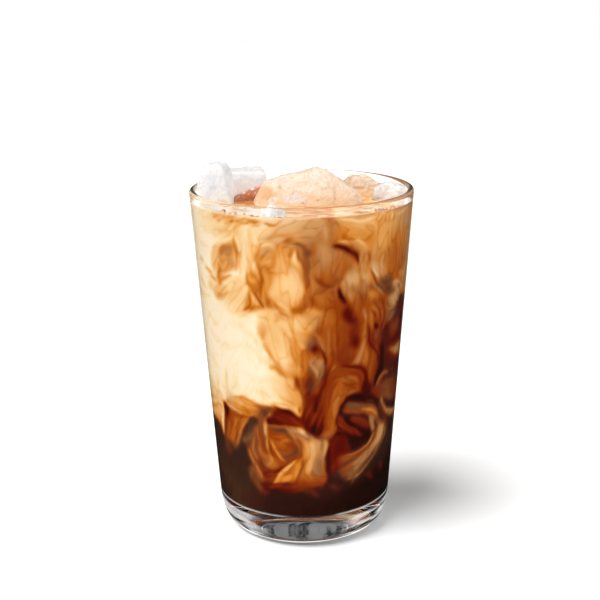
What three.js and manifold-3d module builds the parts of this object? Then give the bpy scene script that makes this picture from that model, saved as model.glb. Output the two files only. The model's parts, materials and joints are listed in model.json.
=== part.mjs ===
// Iced latte in a clear tapered glass.
// Millimetres, +Z up, origin at the middle of the glass's base. The front, where the
// milk shows most, faces -Y and +X is on the viewer's right.

import * as THREE from "three";
import { mergeVertices } from "three/addons/utils/BufferGeometryUtils.js";
import Module from "manifold-3d";

// Glass
const glassHeight = 134;
const rimRadius = 42.5;
const shoulderRadius = 33.85; // outside, where the straight side starts above the heel
const heelHeight = 16;
const heelWidth = 8;
const heelSquareness = 2.8; // 2 is an ellipse, more is squarer
const wall = 2.8;
const rimRound = 1.15;
const floorHeight = 12.8;
const floorCornerRadius = 1.4;
const puntRadius = 17.5; // the hollow under the base
const puntDepth = 1.3;

// Drink
const liquidLevel = 129.4;
const gap = 0.3; // between pieces that touch
const layerFront = 30; // height of the coffee under the milk, at the front
const layerSide = 12; // how much higher it stands at the sides and back
const layerMiddle = 33;
const lobes = [
  { turns: 9, height: 2.6, phase: 0.7 },
  { turns: 5, height: 2.2, phase: 2.4 },
  { turns: 14, height: 1.1, phase: 4.0 },
];

// Ice, as tapered, melted blocks. The turn is in degrees about X, then Y, then Z, the
// taper says how much narrower the top is than the middle, and smaller pieces are cut
// back where they lean on larger ones. The big block is fourth from the left.
const iceBlocks = [
  { size: [14, 15, 25], round: 3, taper: 0.3, turn: [4, -6, -6], place: [-31.6, -3, 131.5], seed: 11 },
  { size: [20, 15, 26], round: 1.6, taper: 0, turn: [2, 4, 10], place: [-24.6, 12.5, 126.4], seed: 23 },
  { size: [22, 14, 18], round: 3.5, taper: 0, turn: [-8, -25, 8], place: [-21, 2, 122.8], seed: 35 },
  { size: [46, 27, 30], round: 9, taper: 0.46, turn: [-10, -15, 8], place: [-0.2, -3, 125.6], seed: 4 },
  { size: [31, 20, 22], round: 4.5, taper: 0.8, turn: [-6, -8, 10], place: [22.6, 10.5, 126], seed: 47 },
  { size: [15, 17, 18], round: 4, taper: 0.2, turn: [-4, 6, -16], place: [33.2, -1, 126.4], seed: 59 },
  { size: [9, 8, 7], round: 1.5, taper: 0, turn: [38, 30, 20], place: [-9.6, -33.6, 128.6], seed: 61 },
];
const iceSteps = 6; // facets along each side of a block
const iceInset = 1.6; // drink left between the ice and the glass
const iceRoomRise = 20;
const meltDepth = 1.1;
const meltWaves = 5;

// Facets round the axis
const roundSteps = 64;
const heelSteps = 6;
const cornerSteps = 3;
const rimSteps = 3;
const layerRings = 6;

const wasm = await Module();
wasm.setup();

const finishes = {
  glass: { color: 0xf4f8f8, roughness: 0.03, metalness: 0, transparent: true, opacity: 0.3 },
  coffee: { color: 0x2c150b, roughness: 0.35, metalness: 0 },
  milk: { color: 0xe6b981, roughness: 0.4, metalness: 0 },
  ice: { color: 0xf3e6da, roughness: 0.12, metalness: 0, transparent: true, opacity: 0.6 },
};

function toSolid(geometry) {
  const bare = geometry.clone();
  bare.deleteAttribute("normal");
  bare.deleteAttribute("uv");
  const merged = mergeVertices(bare, 1e-4);
  return new wasm.Manifold(new wasm.Mesh({
    numProp: 3,
    vertProperties: new Float32Array(merged.attributes.position.array),
    triVerts: new Uint32Array(merged.index.array),
  }));
}

function toGeometry(solid) {
  const mesh = solid.getMesh();
  const geometry = new THREE.BufferGeometry();
  geometry.setAttribute("position", new THREE.BufferAttribute(mesh.vertProperties.slice(), 3));
  geometry.setIndex(new THREE.BufferAttribute(mesh.triVerts.slice(), 1));
  geometry.computeVertexNormals();
  return geometry;
}

function piece(name, geometry, finish) {
  const mesh = new THREE.Mesh(geometry, new THREE.MeshStandardMaterial(finishes[finish]));
  mesh.name = name;
  return mesh;
}

// Turns an outline of (radius, height) points round the Z axis.
function turned(outline) {
  const geometry = new THREE.LatheGeometry(outline, roundSteps);
  geometry.rotateX(Math.PI / 2);
  return geometry;
}

function arc(centreRadius, centreHeight, radius, from, to, steps) {
  const points = [];
  for (let i = 0; i <= steps; i += 1) {
    const angle = THREE.MathUtils.degToRad(THREE.MathUtils.lerp(from, to, i / steps));
    const x = centreRadius + radius * Math.cos(angle);
    points.push(new THREE.Vector2(x, centreHeight + radius * Math.sin(angle)));
  }
  return points;
}

function outerRadius(height) {
  const rise = (height - heelHeight) / (glassHeight - heelHeight);
  return shoulderRadius + (rimRadius - shoulderRadius) * rise;
}

function innerRadius(height) {
  return outerRadius(height) - wall;
}

// The heel is a squared quarter curve that leans with the side, from base to shoulder.
function heel() {
  const points = [];
  for (let i = 0; i <= heelSteps; i += 1) {
    const angle = (Math.PI / 2) * (i / heelSteps);
    const across = Math.pow(Math.sin(angle), 2 / heelSquareness);
    const height = heelHeight * (1 - Math.pow(Math.cos(angle), 2 / heelSquareness));
    points.push(new THREE.Vector2(outerRadius(height) - heelWidth * (1 - across), height));
  }
  return points;
}

// The inside of the glass, drawn in by a margin, from its floor up to a height.
function insideOutline(margin, top) {
  const floor = floorHeight + margin;
  const corner = floorCornerRadius;
  const cornerHeight = floor + corner;
  const cornerAt = innerRadius(cornerHeight) - margin - corner;
  const lowest = Math.min(top, glassHeight);
  return [
    new THREE.Vector2(0, floor),
    ...arc(cornerAt, cornerHeight, corner, -90, 0, cornerSteps),
    new THREE.Vector2(innerRadius(lowest) - margin, top),
    new THREE.Vector2(0, top),
  ];
}

function glass() {
  const puntCurve = (puntRadius * puntRadius + puntDepth * puntDepth) / (2 * puntDepth);
  const puntAngle = THREE.MathUtils.radToDeg(Math.asin(puntRadius / puntCurve));
  const punt = arc(0, puntDepth - puntCurve, puntCurve, 90, 90 - puntAngle, cornerSteps);
  punt[0].x = 0;
  const rimTop = glassHeight - rimRound;
  const rimOut = outerRadius(rimTop) - rimRound;
  const rimIn = innerRadius(rimTop) + rimRound;
  const inside = insideOutline(0, rimTop);
  return turned([
    ...punt,
    ...heel(),
    ...arc(rimOut, rimTop, rimRound, 0, 90, rimSteps),
    ...arc(rimIn, rimTop, rimRound, 90, 180, rimSteps),
    ...inside.slice(1, -2).reverse(),
    inside[0],
  ]);
}

// Height of the coffee's lobed top, by the angle from the front and the share of the
// way out to the wall.
function layerHeight(angle, share) {
  const rim = layerFront + layerSide * Math.pow(Math.sin(angle / 2), 2);
  const lobe = lobes.reduce((sum, { turns, height, phase }) => (
    sum + height * Math.sin(turns * angle + phase)), 0);
  return THREE.MathUtils.lerp(layerMiddle, rim, share) + lobe * share * share;
}

// Everything below the lobed top, wider than the glass, lifted by a margin.
function belowLayer(lift) {
  const reach = rimRadius;
  const outline = [new THREE.Vector2(0, 0), new THREE.Vector2(reach, 0)];
  for (let i = layerRings; i >= 0; i -= 1) {
    outline.push(new THREE.Vector2(reach * (i / layerRings), layerFront));
  }
  const geometry = turned(outline);
  const position = geometry.attributes.position;
  const inside = innerRadius(layerFront);
  for (let i = 0; i < position.count; i += 1) {
    if (position.getZ(i) > floorHeight) {
      const x = position.getX(i);
      const y = position.getY(i);
      const share = Math.min(1, Math.hypot(x, y) / inside);
      position.setZ(i, layerHeight(Math.atan2(x, -y), share) + lift);
    }
  }
  return toSolid(geometry);
}

// A seeded draw between 0 and 1.
function seeded(seed) {
  let state = seed;
  return () => {
    state = (Math.imul(state, 1664525) + 1013904223) >>> 0;
    return state / 4294967296;
  };
}

// Crowds the grid lines of a block towards its edges, which are the round part.
function eased(place) {
  const bend = THREE.MathUtils.degToRad(65);
  return Math.sin(2 * place * bend) / Math.sin(bend) / 2;
}

// A melted block, grown by a margin for the pocket it leaves in its neighbours.
function iceSolid({ size, round, taper, turn, place, seed }, grow) {
  const geometry = new THREE.BoxGeometry(1, 1, 1, iceSteps, iceSteps, iceSteps);
  const full = new THREE.Vector3(...size);
  const core = full.clone().multiplyScalar(0.5).subScalar(round);
  const draw = seeded(seed);
  const waves = Array.from({ length: meltWaves }, () => ({
    along: new THREE.Vector3(draw() - 0.5, draw() - 0.5, draw() - 0.5).normalize(),
    turns: 0.2 + 0.25 * draw(),
    phase: 2 * Math.PI * draw(),
  }));
  const position = geometry.attributes.position;
  for (let i = 0; i < position.count; i += 1) {
    const point = new THREE.Vector3(
      eased(position.getX(i)), eased(position.getY(i)), eased(position.getZ(i))).multiply(full);
    const inner = point.clone().clamp(core.clone().negate(), core);
    const out = point.clone().sub(inner).normalize();
    const melt = waves.reduce((sum, { along, turns, phase }) => (
      sum + Math.sin(turns * point.dot(along) + phase)), 0) / meltWaves;
    point.copy(inner).addScaledVector(out, round + grow + meltDepth * (melt - 0.5));
    const wide = 1 - taper * Math.max(0, 2 * point.z / size[2]);
    position.setXYZ(i, point.x * wide, point.y * wide, point.z);
  }
  const degrees = turn.map(THREE.MathUtils.degToRad);
  geometry.applyMatrix4(new THREE.Matrix4().makeRotationFromEuler(new THREE.Euler(...degrees, "ZYX")));
  geometry.translate(...place);
  return toSolid(geometry);
}

function volumeOf({ size }) {
  return size[0] * size[1] * size[2];
}

// The room for ice: inset below the drink's level, up to the wall above it, and leaning
// on outwards over the rim.
function iceRoomOutline(inset) {
  const outline = insideOutline(inset, liquidLevel);
  const top = glassHeight + iceRoomRise;
  return [
    ...outline.slice(0, -2),
    new THREE.Vector2(innerRadius(liquidLevel) - inset, liquidLevel - gap),
    new THREE.Vector2(innerRadius(liquidLevel) - gap, liquidLevel),
    new THREE.Vector2(innerRadius(top) - gap, top),
    new THREE.Vector2(0, top),
  ];
}

const iceRoom = toSolid(turned(iceRoomOutline(iceInset)));
const pocketRoom = toSolid(turned(iceRoomOutline(iceInset - gap)));
const cutOrder = [...iceBlocks].sort((a, b) => volumeOf(b) - volumeOf(a));
const ice = iceBlocks.map((block) => {
  const before = cutOrder.slice(0, cutOrder.indexOf(block));
  const whole = iceSolid(block, 0).intersect(iceRoom);
  return before.reduce((solid, other) => solid.subtract(iceSolid(other, gap)), whole);
});

let drink = toSolid(turned(insideOutline(gap, liquidLevel)));
for (const block of iceBlocks) {
  drink = drink.subtract(iceSolid(block, gap).intersect(pocketRoom));
}
const coffee = drink.intersect(belowLayer(0));
const milk = drink.subtract(belowLayer(gap));

const latte = new THREE.Group();
latte.name = "iced_latte";
latte.add(piece("glass", glass(), "glass"));
latte.add(piece("coffee", toGeometry(coffee), "coffee"));
latte.add(piece("milk", toGeometry(milk), "milk"));
ice.forEach((solid, index) => {
  latte.add(piece(`ice_${index + 1}`, toGeometry(solid), "ice"));
});

export default latte;
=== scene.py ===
# Iced latte in a clear glass: milk poured into coffee, seven lumps of ice.
# Metres, +Z up, in the frame's own axes. The front of the glass faces -Y.

import json
import math

import bmesh
import bpy
import numpy as np
from mathutils import Matrix, Vector
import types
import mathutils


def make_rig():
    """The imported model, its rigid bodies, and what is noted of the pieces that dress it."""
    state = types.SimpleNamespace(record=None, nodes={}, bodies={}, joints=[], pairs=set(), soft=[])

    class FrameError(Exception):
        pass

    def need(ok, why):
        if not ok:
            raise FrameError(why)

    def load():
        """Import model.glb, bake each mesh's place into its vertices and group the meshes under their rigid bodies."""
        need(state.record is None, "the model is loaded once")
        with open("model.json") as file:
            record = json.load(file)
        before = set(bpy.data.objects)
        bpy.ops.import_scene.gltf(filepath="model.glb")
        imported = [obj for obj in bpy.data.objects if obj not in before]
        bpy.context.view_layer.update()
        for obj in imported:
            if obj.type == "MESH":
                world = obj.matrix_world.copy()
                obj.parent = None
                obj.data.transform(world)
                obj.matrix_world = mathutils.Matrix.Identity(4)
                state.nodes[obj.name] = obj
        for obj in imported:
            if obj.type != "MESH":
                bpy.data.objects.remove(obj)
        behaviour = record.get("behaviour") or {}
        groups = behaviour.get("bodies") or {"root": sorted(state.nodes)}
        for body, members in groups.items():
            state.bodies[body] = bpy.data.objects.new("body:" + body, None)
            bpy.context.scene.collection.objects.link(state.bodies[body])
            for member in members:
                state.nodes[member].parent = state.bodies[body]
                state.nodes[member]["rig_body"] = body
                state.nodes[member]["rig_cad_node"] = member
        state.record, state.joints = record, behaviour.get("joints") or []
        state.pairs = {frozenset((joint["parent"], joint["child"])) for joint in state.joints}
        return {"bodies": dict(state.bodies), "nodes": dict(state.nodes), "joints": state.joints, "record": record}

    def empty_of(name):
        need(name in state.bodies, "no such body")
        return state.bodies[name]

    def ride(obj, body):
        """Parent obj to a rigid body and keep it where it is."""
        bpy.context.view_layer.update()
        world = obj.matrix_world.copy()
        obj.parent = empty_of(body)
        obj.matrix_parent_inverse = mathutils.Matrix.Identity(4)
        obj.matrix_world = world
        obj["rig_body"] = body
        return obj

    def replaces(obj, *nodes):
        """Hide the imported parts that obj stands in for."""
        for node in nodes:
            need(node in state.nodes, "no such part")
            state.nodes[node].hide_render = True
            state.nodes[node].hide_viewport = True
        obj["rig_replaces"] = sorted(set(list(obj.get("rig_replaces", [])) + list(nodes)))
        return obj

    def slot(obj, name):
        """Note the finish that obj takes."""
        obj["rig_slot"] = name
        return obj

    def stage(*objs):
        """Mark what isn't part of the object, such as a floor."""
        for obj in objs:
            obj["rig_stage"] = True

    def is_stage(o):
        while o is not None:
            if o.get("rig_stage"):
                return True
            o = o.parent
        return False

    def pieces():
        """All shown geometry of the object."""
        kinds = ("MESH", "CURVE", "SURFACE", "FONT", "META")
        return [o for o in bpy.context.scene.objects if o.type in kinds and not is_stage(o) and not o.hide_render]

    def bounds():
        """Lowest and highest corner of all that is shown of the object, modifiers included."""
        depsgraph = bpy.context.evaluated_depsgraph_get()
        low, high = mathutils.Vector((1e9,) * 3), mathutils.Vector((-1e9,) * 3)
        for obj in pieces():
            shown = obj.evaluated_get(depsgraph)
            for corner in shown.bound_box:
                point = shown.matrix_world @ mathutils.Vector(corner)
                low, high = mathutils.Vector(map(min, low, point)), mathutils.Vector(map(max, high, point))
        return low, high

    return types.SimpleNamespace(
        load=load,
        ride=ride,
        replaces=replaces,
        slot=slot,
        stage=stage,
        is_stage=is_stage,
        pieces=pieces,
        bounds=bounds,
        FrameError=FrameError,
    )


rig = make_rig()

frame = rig.load()
cadBox = [list(corner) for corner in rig.bounds()]
mm = 0.001

view = {
    "place": (-1, -447, 215),
    "lookDown": 15.66,
    "roll": -0.59,
    "lens": 72,
}
studio = {
    "background": 1.0,
    "ambient": 0.22,
    "gloss": 0.9,                    # how bright the room is in reflections
    "floorColour": (0.97, 0.97, 0.97),
    "keyFrom": (-0.45, -0.21, 0.87),  # the way to the key light
    "keyStrength": 4.8,
    "keySpread": 46,                 # degrees across, for a soft shadow
    "frontPlace": (150, -900, 420),
    "frontSize": (700, 500),
    "frontPower": 3.0,
    "backCard": (170, 125, 360, 350),  # half width, bottom, top and distance behind
    "backTones": (0.03, 0.22),
}
glassShape = {
    "height": 134,
    "rimRadius": 42.5,
    "shoulderRadius": 33.85,
    "heelHeight": 16,
    "heelWidth": 8,
    "heelSquareness": 2.8,
    "wall": 2.8,
    "rimRound": 1.15,
    "floorHeight": 12.8,
    "floorCorner": 1.4,
    "puntRadius": 17.5,
    "puntDepth": 1.3,
    "roundSteps": 256,
    "heelSteps": 20,
    "arcSteps": 9,
    "sideSteps": 30,
    "baseSides": (0.1, 0.45),  # where the base's painted light begins and is full, 0 in front and 1 at the sides
    "basePaintedLight": 0.6,
}
drinkShape = {
    "level": 129.4,
    "reach": 0.1,       # how far the drink goes into the wall, so that no air shows
    "meniscusRise": 0.8,
    "meniscusWidth": 2.4,
    "rowHeight": 0.52,
    "frontStep": 0.75,  # degrees between columns where the front is painted finest
    "backStep": 1.4,
    "frontHalf": 95,
    "ringWidth": 1.5,
    "iceBite": 0.25,    # how far the ice stands into the drink round it
    "topMilk": (0.5, 0.7, 0.92),
    "evening": 0.24,    # how much darker the paint is on the left, towards the key light
    "floorTone": (58, 58, 60),  # the painted glow of the drink's underside, seen through the base, the painted light on its outer ring, and the radii between which one becomes the other
    "ringLightTone": (214, 212, 210),  # its outer ring, and the radii between which one becomes the other
    "floorRing": (22, 28),
}


# Wires and finishes
class Wire:
    # A node's output, on which sums can be written as sums.
    def __init__(self, finish, socket):
        self.finish, self.socket = finish, socket

    def maths(self, operation, first, second=0.0, clamp=False):
        settings = {"operation": operation, "use_clamp": clamp}
        return self.finish.node("ShaderNodeMath", settings, {0: first, 1: second})

    def __add__(self, other):
        return self.maths("ADD", self, other)

    def __sub__(self, other):
        return self.maths("SUBTRACT", self, other)

    def __rsub__(self, other):
        return self.maths("SUBTRACT", other, self)

    def __mul__(self, other):
        return self.maths("MULTIPLY", self, other)

    def __truediv__(self, other):
        return self.maths("DIVIDE", self, other)

    def __pow__(self, other):
        return self.maths("POWER", self, other)

    __radd__ = __add__
    __rmul__ = __mul__

    def larger(self, other):
        return self.maths("MAXIMUM", self, other)

    def between(self, low, high):
        # 0 below low, 1 above high, and smooth on the way
        sockets = {"Value": self, "From Min": low, "From Max": high}
        return self.finish.node("ShaderNodeMapRange", {"interpolation_type": "SMOOTHSTEP"}, sockets)


class Finish:
    # A node tree with one way to add a node: its type, its settings, then its sockets.
    def __init__(self, name, tree=None):
        if tree is None:
            self.material = bpy.data.materials.new(name)
            self.material.use_nodes = True
            tree = self.material.node_tree
        self.tree = tree
        self.tree.nodes.clear()

    def node(self, kind, settings=None, sockets=None, output=0):
        made = self.tree.nodes.new(kind)
        for name, value in (settings or {}).items():
            if name == "stops":
                elements = made.color_ramp.elements
                elements.remove(elements[1])
                for index, (place, colour) in enumerate(value):
                    element = elements[0] if index == 0 else elements.new(place)
                    element.position = place
                    element.color = (*colour, 1)
            else:
                setattr(made, name, value)
        for name, value in (sockets or {}).items():
            if isinstance(value, Wire):
                self.tree.links.new(value.socket, made.inputs[name])
            else:
                made.inputs[name].default_value = value
        return Wire(self, made.outputs[output]) if made.outputs else made

    def place(self):
        return self.node("ShaderNodeTexCoord", output="Object")

    def noise(self, scale, detail=3, roughness=0.55, distortion=0.0, stretch=(1, 1, 1), output=0):
        # scale is in lumps for each metre
        where = self.node("ShaderNodeVectorMath", {"operation": "MULTIPLY"}, {0: self.place(), 1: stretch})
        sockets = {"Vector": where, "Scale": scale, "Detail": detail, "Roughness": roughness,
                   "Distortion": distortion}
        return self.node("ShaderNodeTexNoise", None, sockets, output)

    def blend(self, share, first, second, kind="MIX"):
        settings = {"data_type": "RGBA", "blend_type": kind}
        return self.node("ShaderNodeMix", settings, {0: share, 6: first, 7: second}, 2)

    def bump(self, height, strength, distance):
        sockets = {"Height": height, "Strength": strength, "Distance": distance}
        return self.node("ShaderNodeBump", None, sockets)

    def surface(self, shader):
        self.node("ShaderNodeOutputMaterial", None, {"Surface": shader})
        return self.material


def colour(red, green, blue):
    # a screen colour, 0 to 255, as light
    share = np.array([red, green, blue]) / 255
    light = np.where(share < 0.04045, share / 12.92, ((share + 0.055) / 1.055) ** 2.4)
    return tuple(float(v) for v in light)


def rgba(*screen):
    return (*colour(*screen), 1)


# Camera, floor and light
def makeCamera():
    down, roll = math.radians(view["lookDown"]), math.radians(view["roll"])
    ahead = Vector((0, math.cos(down), -math.sin(down)))
    level, above = Vector((1, 0, 0)), Vector((0, math.sin(down), math.cos(down)))
    right = level * math.cos(roll) + above * math.sin(roll)
    top = above * math.cos(roll) - level * math.sin(roll)
    data = bpy.data.cameras.new("camera")
    data.lens = view["lens"]
    data.sensor_width = 36
    camera = bpy.data.objects.new("camera", data)
    bpy.context.scene.collection.objects.link(camera)
    turn = Matrix((right, top, -ahead)).transposed().to_4x4()
    camera.matrix_world = Matrix.Translation(Vector(view["place"]) * mm) @ turn
    bpy.context.scene.camera = camera


def addObject(name, vertices, faces, finish=None, smoothFaces=True):
    mesh = bpy.data.meshes.new(name)
    mesh.from_pydata([tuple(v) for v in vertices], [], [tuple(f) for f in faces])
    mesh.update()
    if smoothFaces:
        mesh.polygons.foreach_set("use_smooth", [True] * len(mesh.polygons))
    made = bpy.data.objects.new(name, mesh)
    bpy.context.scene.collection.objects.link(made)
    if finish:
        mesh.materials.append(finish)
    return made


def makeFloor():
    finish = Finish("floor")
    grain = finish.noise(40, 2)
    tone = finish.blend(grain, (*studio["floorColour"], 1), (0.98, 0.98, 0.98, 1))
    shader = finish.node("ShaderNodeBsdfPrincipled", None, {"Base Color": tone, "Roughness": 0.65})
    half = 3.0
    corners = [(-half, -half, 0), (half, -half, 0), (half, half, 0), (-half, half, 0)]
    floor = addObject("floor", corners, [(0, 1, 2, 3)], finish.surface(shader))
    floor.visible_glossy = False
    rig.stage(floor)


def addLight(name, kind, place, power, **settings):
    data = bpy.data.lights.new(name, kind)
    data.energy = power
    for setting, value in settings.items():
        setattr(data, setting, value)
    light = bpy.data.objects.new(name, data)
    bpy.context.scene.collection.objects.link(light)
    aim = (Vector((0, 0, 0.06)) - Vector(place)).to_track_quat("-Z", "Y").to_matrix().to_4x4()
    light.matrix_world = Matrix.Translation(place) @ aim
    return light


def addCard(name, corners, dark, bright):
    # A dark card outside the camera's view, which only the glass sees.
    finish = Finish(name)
    patches = finish.noise(14, 3, 0.6, 1.5).between(0.42, 0.6)
    tone = finish.blend(patches, (dark, dark, dark, 1), (bright, bright, bright, 1))
    black = {"Base Color": (0, 0, 0, 1), "Specular IOR Level": 0.0, "Emission Color": tone, "Emission Strength": 1.0}
    shade = finish.node("ShaderNodeBsdfPrincipled", None, black)
    card = addObject(name, [Vector(corner) * mm for corner in corners], [(0, 1, 2, 3)], finish.surface(shade))
    card.visible_camera = False
    card.visible_diffuse = False
    card.visible_shadow = False
    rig.stage(card)


def makeLights():
    world = bpy.data.worlds.new("studio")
    bpy.context.scene.world = world
    world.use_nodes = True
    sky = Finish("studio", world.node_tree)
    path = [sky.node("ShaderNodeLightPath", output=name)
            for name in ("Is Camera Ray", "Is Transmission Ray", "Is Glossy Ray")]
    seen = path[0].larger(path[1])
    strength = seen * (studio["background"] - studio["ambient"]) + studio["ambient"]
    # in reflections the room is bright above and behind the glass, and dark elsewhere
    way = sky.node("ShaderNodeTexCoord", output="Generated")
    above, behind = (sky.node("ShaderNodeSeparateXYZ", None, {0: way}, axis) for axis in ("Z", "Y"))
    gloss = above.between(0.02, 0.4).larger(behind.between(0.88, 0.96)) * studio["gloss"] + 0.01
    strength = strength + path[2] * (1 - seen) * (gloss - studio["ambient"])
    glow = sky.node("ShaderNodeBackground", None, {"Color": (1, 1, 1, 1), "Strength": strength})
    sky.node("ShaderNodeOutputWorld", None, {"Surface": glow})
    key = addLight("key", "SUN", Vector(studio["keyFrom"]), studio["keyStrength"],
                   angle=math.radians(studio["keySpread"]))
    wide, high = (size * mm for size in studio["frontSize"])
    front = addLight("front", "AREA", Vector(studio["frontPlace"]) * mm, studio["frontPower"],
                     shape="RECTANGLE", size=wide, size_y=high)
    for light in (key, front):
        light.visible_glossy = False
        light.visible_transmission = False
    wide, low, high, back = studio["backCard"]
    addCard("card_back", [(-wide, back, low), (wide, back, low), (wide, back, high), (-wide, back, high)],
            *studio["backTones"])
    scene = bpy.context.scene
    scene.view_settings.view_transform = "Standard"
    scene.view_settings.look = "None"


makeCamera()
makeFloor()
makeLights()
print("studio is ready")


# Glass
def outerRadius(height):
    shape = glassShape
    rise = (height - shape["heelHeight"]) / (shape["height"] - shape["heelHeight"])
    return shape["shoulderRadius"] + (shape["rimRadius"] - shape["shoulderRadius"]) * rise


def innerRadius(height):
    return outerRadius(height) - glassShape["wall"]


def arc(centreRadius, centreHeight, radius, start, end, steps):
    angles = np.radians(np.linspace(start, end, steps + 1))
    return [(centreRadius + radius * math.cos(a), centreHeight + radius * math.sin(a)) for a in angles]


def straight(start, end, steps):
    # points between two ends, without the ends themselves
    shares = [(k + 1) / (steps + 1) for k in range(steps)]
    return [tuple(a + (b - a) * share for a, b in zip(start, end)) for share in shares]


def turned(name, outline, angles, finish):
    # The outline starts and ends on the axis, where each end is one point.
    ringed = outline[1:-1]
    count = len(angles)
    vertices = [(0, 0, outline[0][1] * mm)]
    for radius, height in ringed:
        for angle in angles:
            vertices.append((radius * math.sin(angle) * mm, -radius * math.cos(angle) * mm, height * mm))
    vertices.append((0, 0, outline[-1][1] * mm))
    last = len(vertices) - 1
    faces = [(0, 1 + (k + 1) % count, 1 + k) for k in range(count)]
    for row in range(len(ringed) - 1):
        low, high = 1 + row * count, 1 + (row + 1) * count
        faces += [(low + k, low + (k + 1) % count, high + (k + 1) % count, high + k) for k in range(count)]
    top = 1 + (len(ringed) - 1) * count
    faces += [(top + k, top + (k + 1) % count, last) for k in range(count)]
    return addObject(name, vertices, faces, finish)


def glassOutline():
    shape = glassShape
    steps = shape["arcSteps"]
    curve = (shape["puntRadius"] ** 2 + shape["puntDepth"] ** 2) / (2 * shape["puntDepth"])
    sweep = math.degrees(math.asin(shape["puntRadius"] / curve))
    points = arc(0, shape["puntDepth"] - curve, curve, 90, 90 - sweep, steps)
    points[0] = (0, shape["puntDepth"])
    power = 2 / shape["heelSquareness"]
    for k in range(shape["heelSteps"] + 1):
        angle = math.pi / 2 * k / shape["heelSteps"]
        across, height = math.sin(angle) ** power, shape["heelHeight"] * (1 - math.cos(angle) ** power)
        points.append((outerRadius(height) - shape["heelWidth"] * (1 - across), height))
    rimTop, rimRound = shape["height"] - shape["rimRound"], shape["rimRound"]
    corner = shape["floorCorner"]
    cornerHeight = shape["floorHeight"] + corner
    outside = (outerRadius(shape["heelHeight"]), shape["heelHeight"])
    points += straight(outside, (outerRadius(rimTop), rimTop), shape["sideSteps"])
    points += arc(outerRadius(rimTop) - rimRound, rimTop, rimRound, 0, 90, steps)
    points += arc(innerRadius(rimTop) + rimRound, rimTop, rimRound, 90, 180, steps)
    points += straight((innerRadius(rimTop), rimTop), (innerRadius(cornerHeight), cornerHeight),
                       shape["sideSteps"])
    points += arc(innerRadius(cornerHeight) - corner, cornerHeight, corner, 0, -90, steps)
    points.append((0, shape["floorHeight"]))
    return points


def glassFinish():
    finish = Finish("glass")
    haze = finish.noise(90, 4).between(0.35, 0.8)
    ripple = finish.noise(26, 2, stretch=(1, 1, 0.35))
    # painted light: the thick base gathers light at its sides, in streaks that run round it, painted on as a glow
    height = finish.node("ShaderNodeSeparateXYZ", None, {0: finish.place()}, output="Z")
    across, deep = (finish.node("ShaderNodeSeparateXYZ", None, {0: finish.place()}, output=axis) for axis in "XY")
    side = (across * across / (across * across + deep * deep + 1e-6)).between(*glassShape["baseSides"])
    streaks = finish.noise(150, 3, 0.5, 0.6, stretch=(0.3, 0.3, 2.2)).between(0.38, 0.56)
    band = height.between(0.001, 0.003) * (1 - height.between(0.0112, 0.0124))
    paintedBaseLight = side * streaks * band * glassShape["basePaintedLight"]
    clear = finish.node("ShaderNodeBsdfPrincipled", None, {
        "Emission Color": finish.blend(paintedBaseLight, (0, 0, 0, 1), (1, 1, 1, 1)),
        "Emission Strength": 1.0,
        "Base Color": (0.985, 0.995, 0.99, 1),
        "Roughness": haze * 0.012 + 0.002,
        "IOR": 1.5,
        "Transmission Weight": 1.0,
        "Normal": finish.bump(ripple, 0.06, 0.002),
    })
    # light that the drink and the floor gather comes straight through
    path = [finish.node("ShaderNodeLightPath", output=name) for name in ("Is Shadow Ray", "Is Diffuse Ray")]
    through = finish.node("ShaderNodeBsdfTransparent", None, {"Color": (0.94, 0.95, 0.95, 1)})
    wall = height.between(0.009, 0.014)
    return finish.surface(finish.node("ShaderNodeMixShader", None,
                                      {0: path[0].larger(path[1]) * wall, 1: clear, 2: through}))


def makeGlass():
    angles = np.linspace(0, 2 * math.pi, glassShape["roundSteps"], endpoint=False)
    piece = turned("glass_clear", glassOutline(), angles, glassFinish())
    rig.ride(piece, "root")
    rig.slot(piece, "glass")
    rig.replaces(piece, "glass")
    return piece


makeGlass()
print("glass is ready")


# Painting of the milk in the coffee
# Each name is how much milk there is, from 0 to 1, and how grey it looks.
mixes = {
    "pale": (1.0, 0.0), "cream": (0.94, 0.0), "butter": (0.87, 0.0), "honey": (0.78, 0.0),
    "apricot": (0.69, 0.1), "amber": (0.6, 0.0), "orange": (0.57, -0.3), "caramel": (0.52, 0.2),
    "copper": (0.42, 0.0), "toffee": (0.37, 0.35), "sienna": (0.33, 0.1), "rust": (0.24, 0.1),
    "garnet": (0.2, 0.0), "ember": (0.13, 0.0), "maroon": (0.06, 0.0), "night": (0.0, 0.0),
    "peach": (0.86, 0.6), "beige": (0.67, 0.85), "rose": (0.7, 0.6), "tan": (0.56, 0.7),
    "coral": (0.52, 0.4), "mauve": (0.48, 1.0), "olive": (0.37, 0.7), "brick": (0.36, 0.7),
    "bark": (0.17, 1.0), "umber": (0.08, 1.0), "cocoa": (0.05, 0.6), "flame": (0.62, -0.35),
}
glowing = [
    (0.0, (28, 6, 1)), (0.07, (52, 5, 0)), (0.14, (86, 9, 0)), (0.22, (112, 24, 0)), (0.3, (130, 42, 0)),
    (0.38, (146, 58, 2)), (0.46, (167, 79, 9)), (0.54, (190, 102, 22)), (0.62, (213, 131, 46)),
    (0.7, (227, 156, 80)), (0.78, (238, 184, 117)), (0.86, (247, 210, 156)), (0.93, (253, 229, 194)),
    (1.0, (255, 242, 224)),
]
greyish = [
    (0.0, (34, 18, 12)), (0.14, (60, 33, 20)), (0.3, (92, 57, 32)), (0.45, (130, 86, 48)),
    (0.6, (173, 121, 75)), (0.72, (203, 156, 108)), (0.85, (231, 195, 152)), (1.0, (251, 234, 212)),
]


def ramp(stops, milk):
    places = [place for place, _ in stops]
    tones = np.array([colour(*tone) for _, tone in stops])
    return np.stack([np.interp(milk, places, tones[:, k]) for k in range(3)], -1)


def mixedColours(mix):
    milk, grey = mix[..., 0], mix[..., 1:2]
    return ramp(glowing, milk) * (1 - grey) + ramp(greyish, milk) * grey


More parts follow.
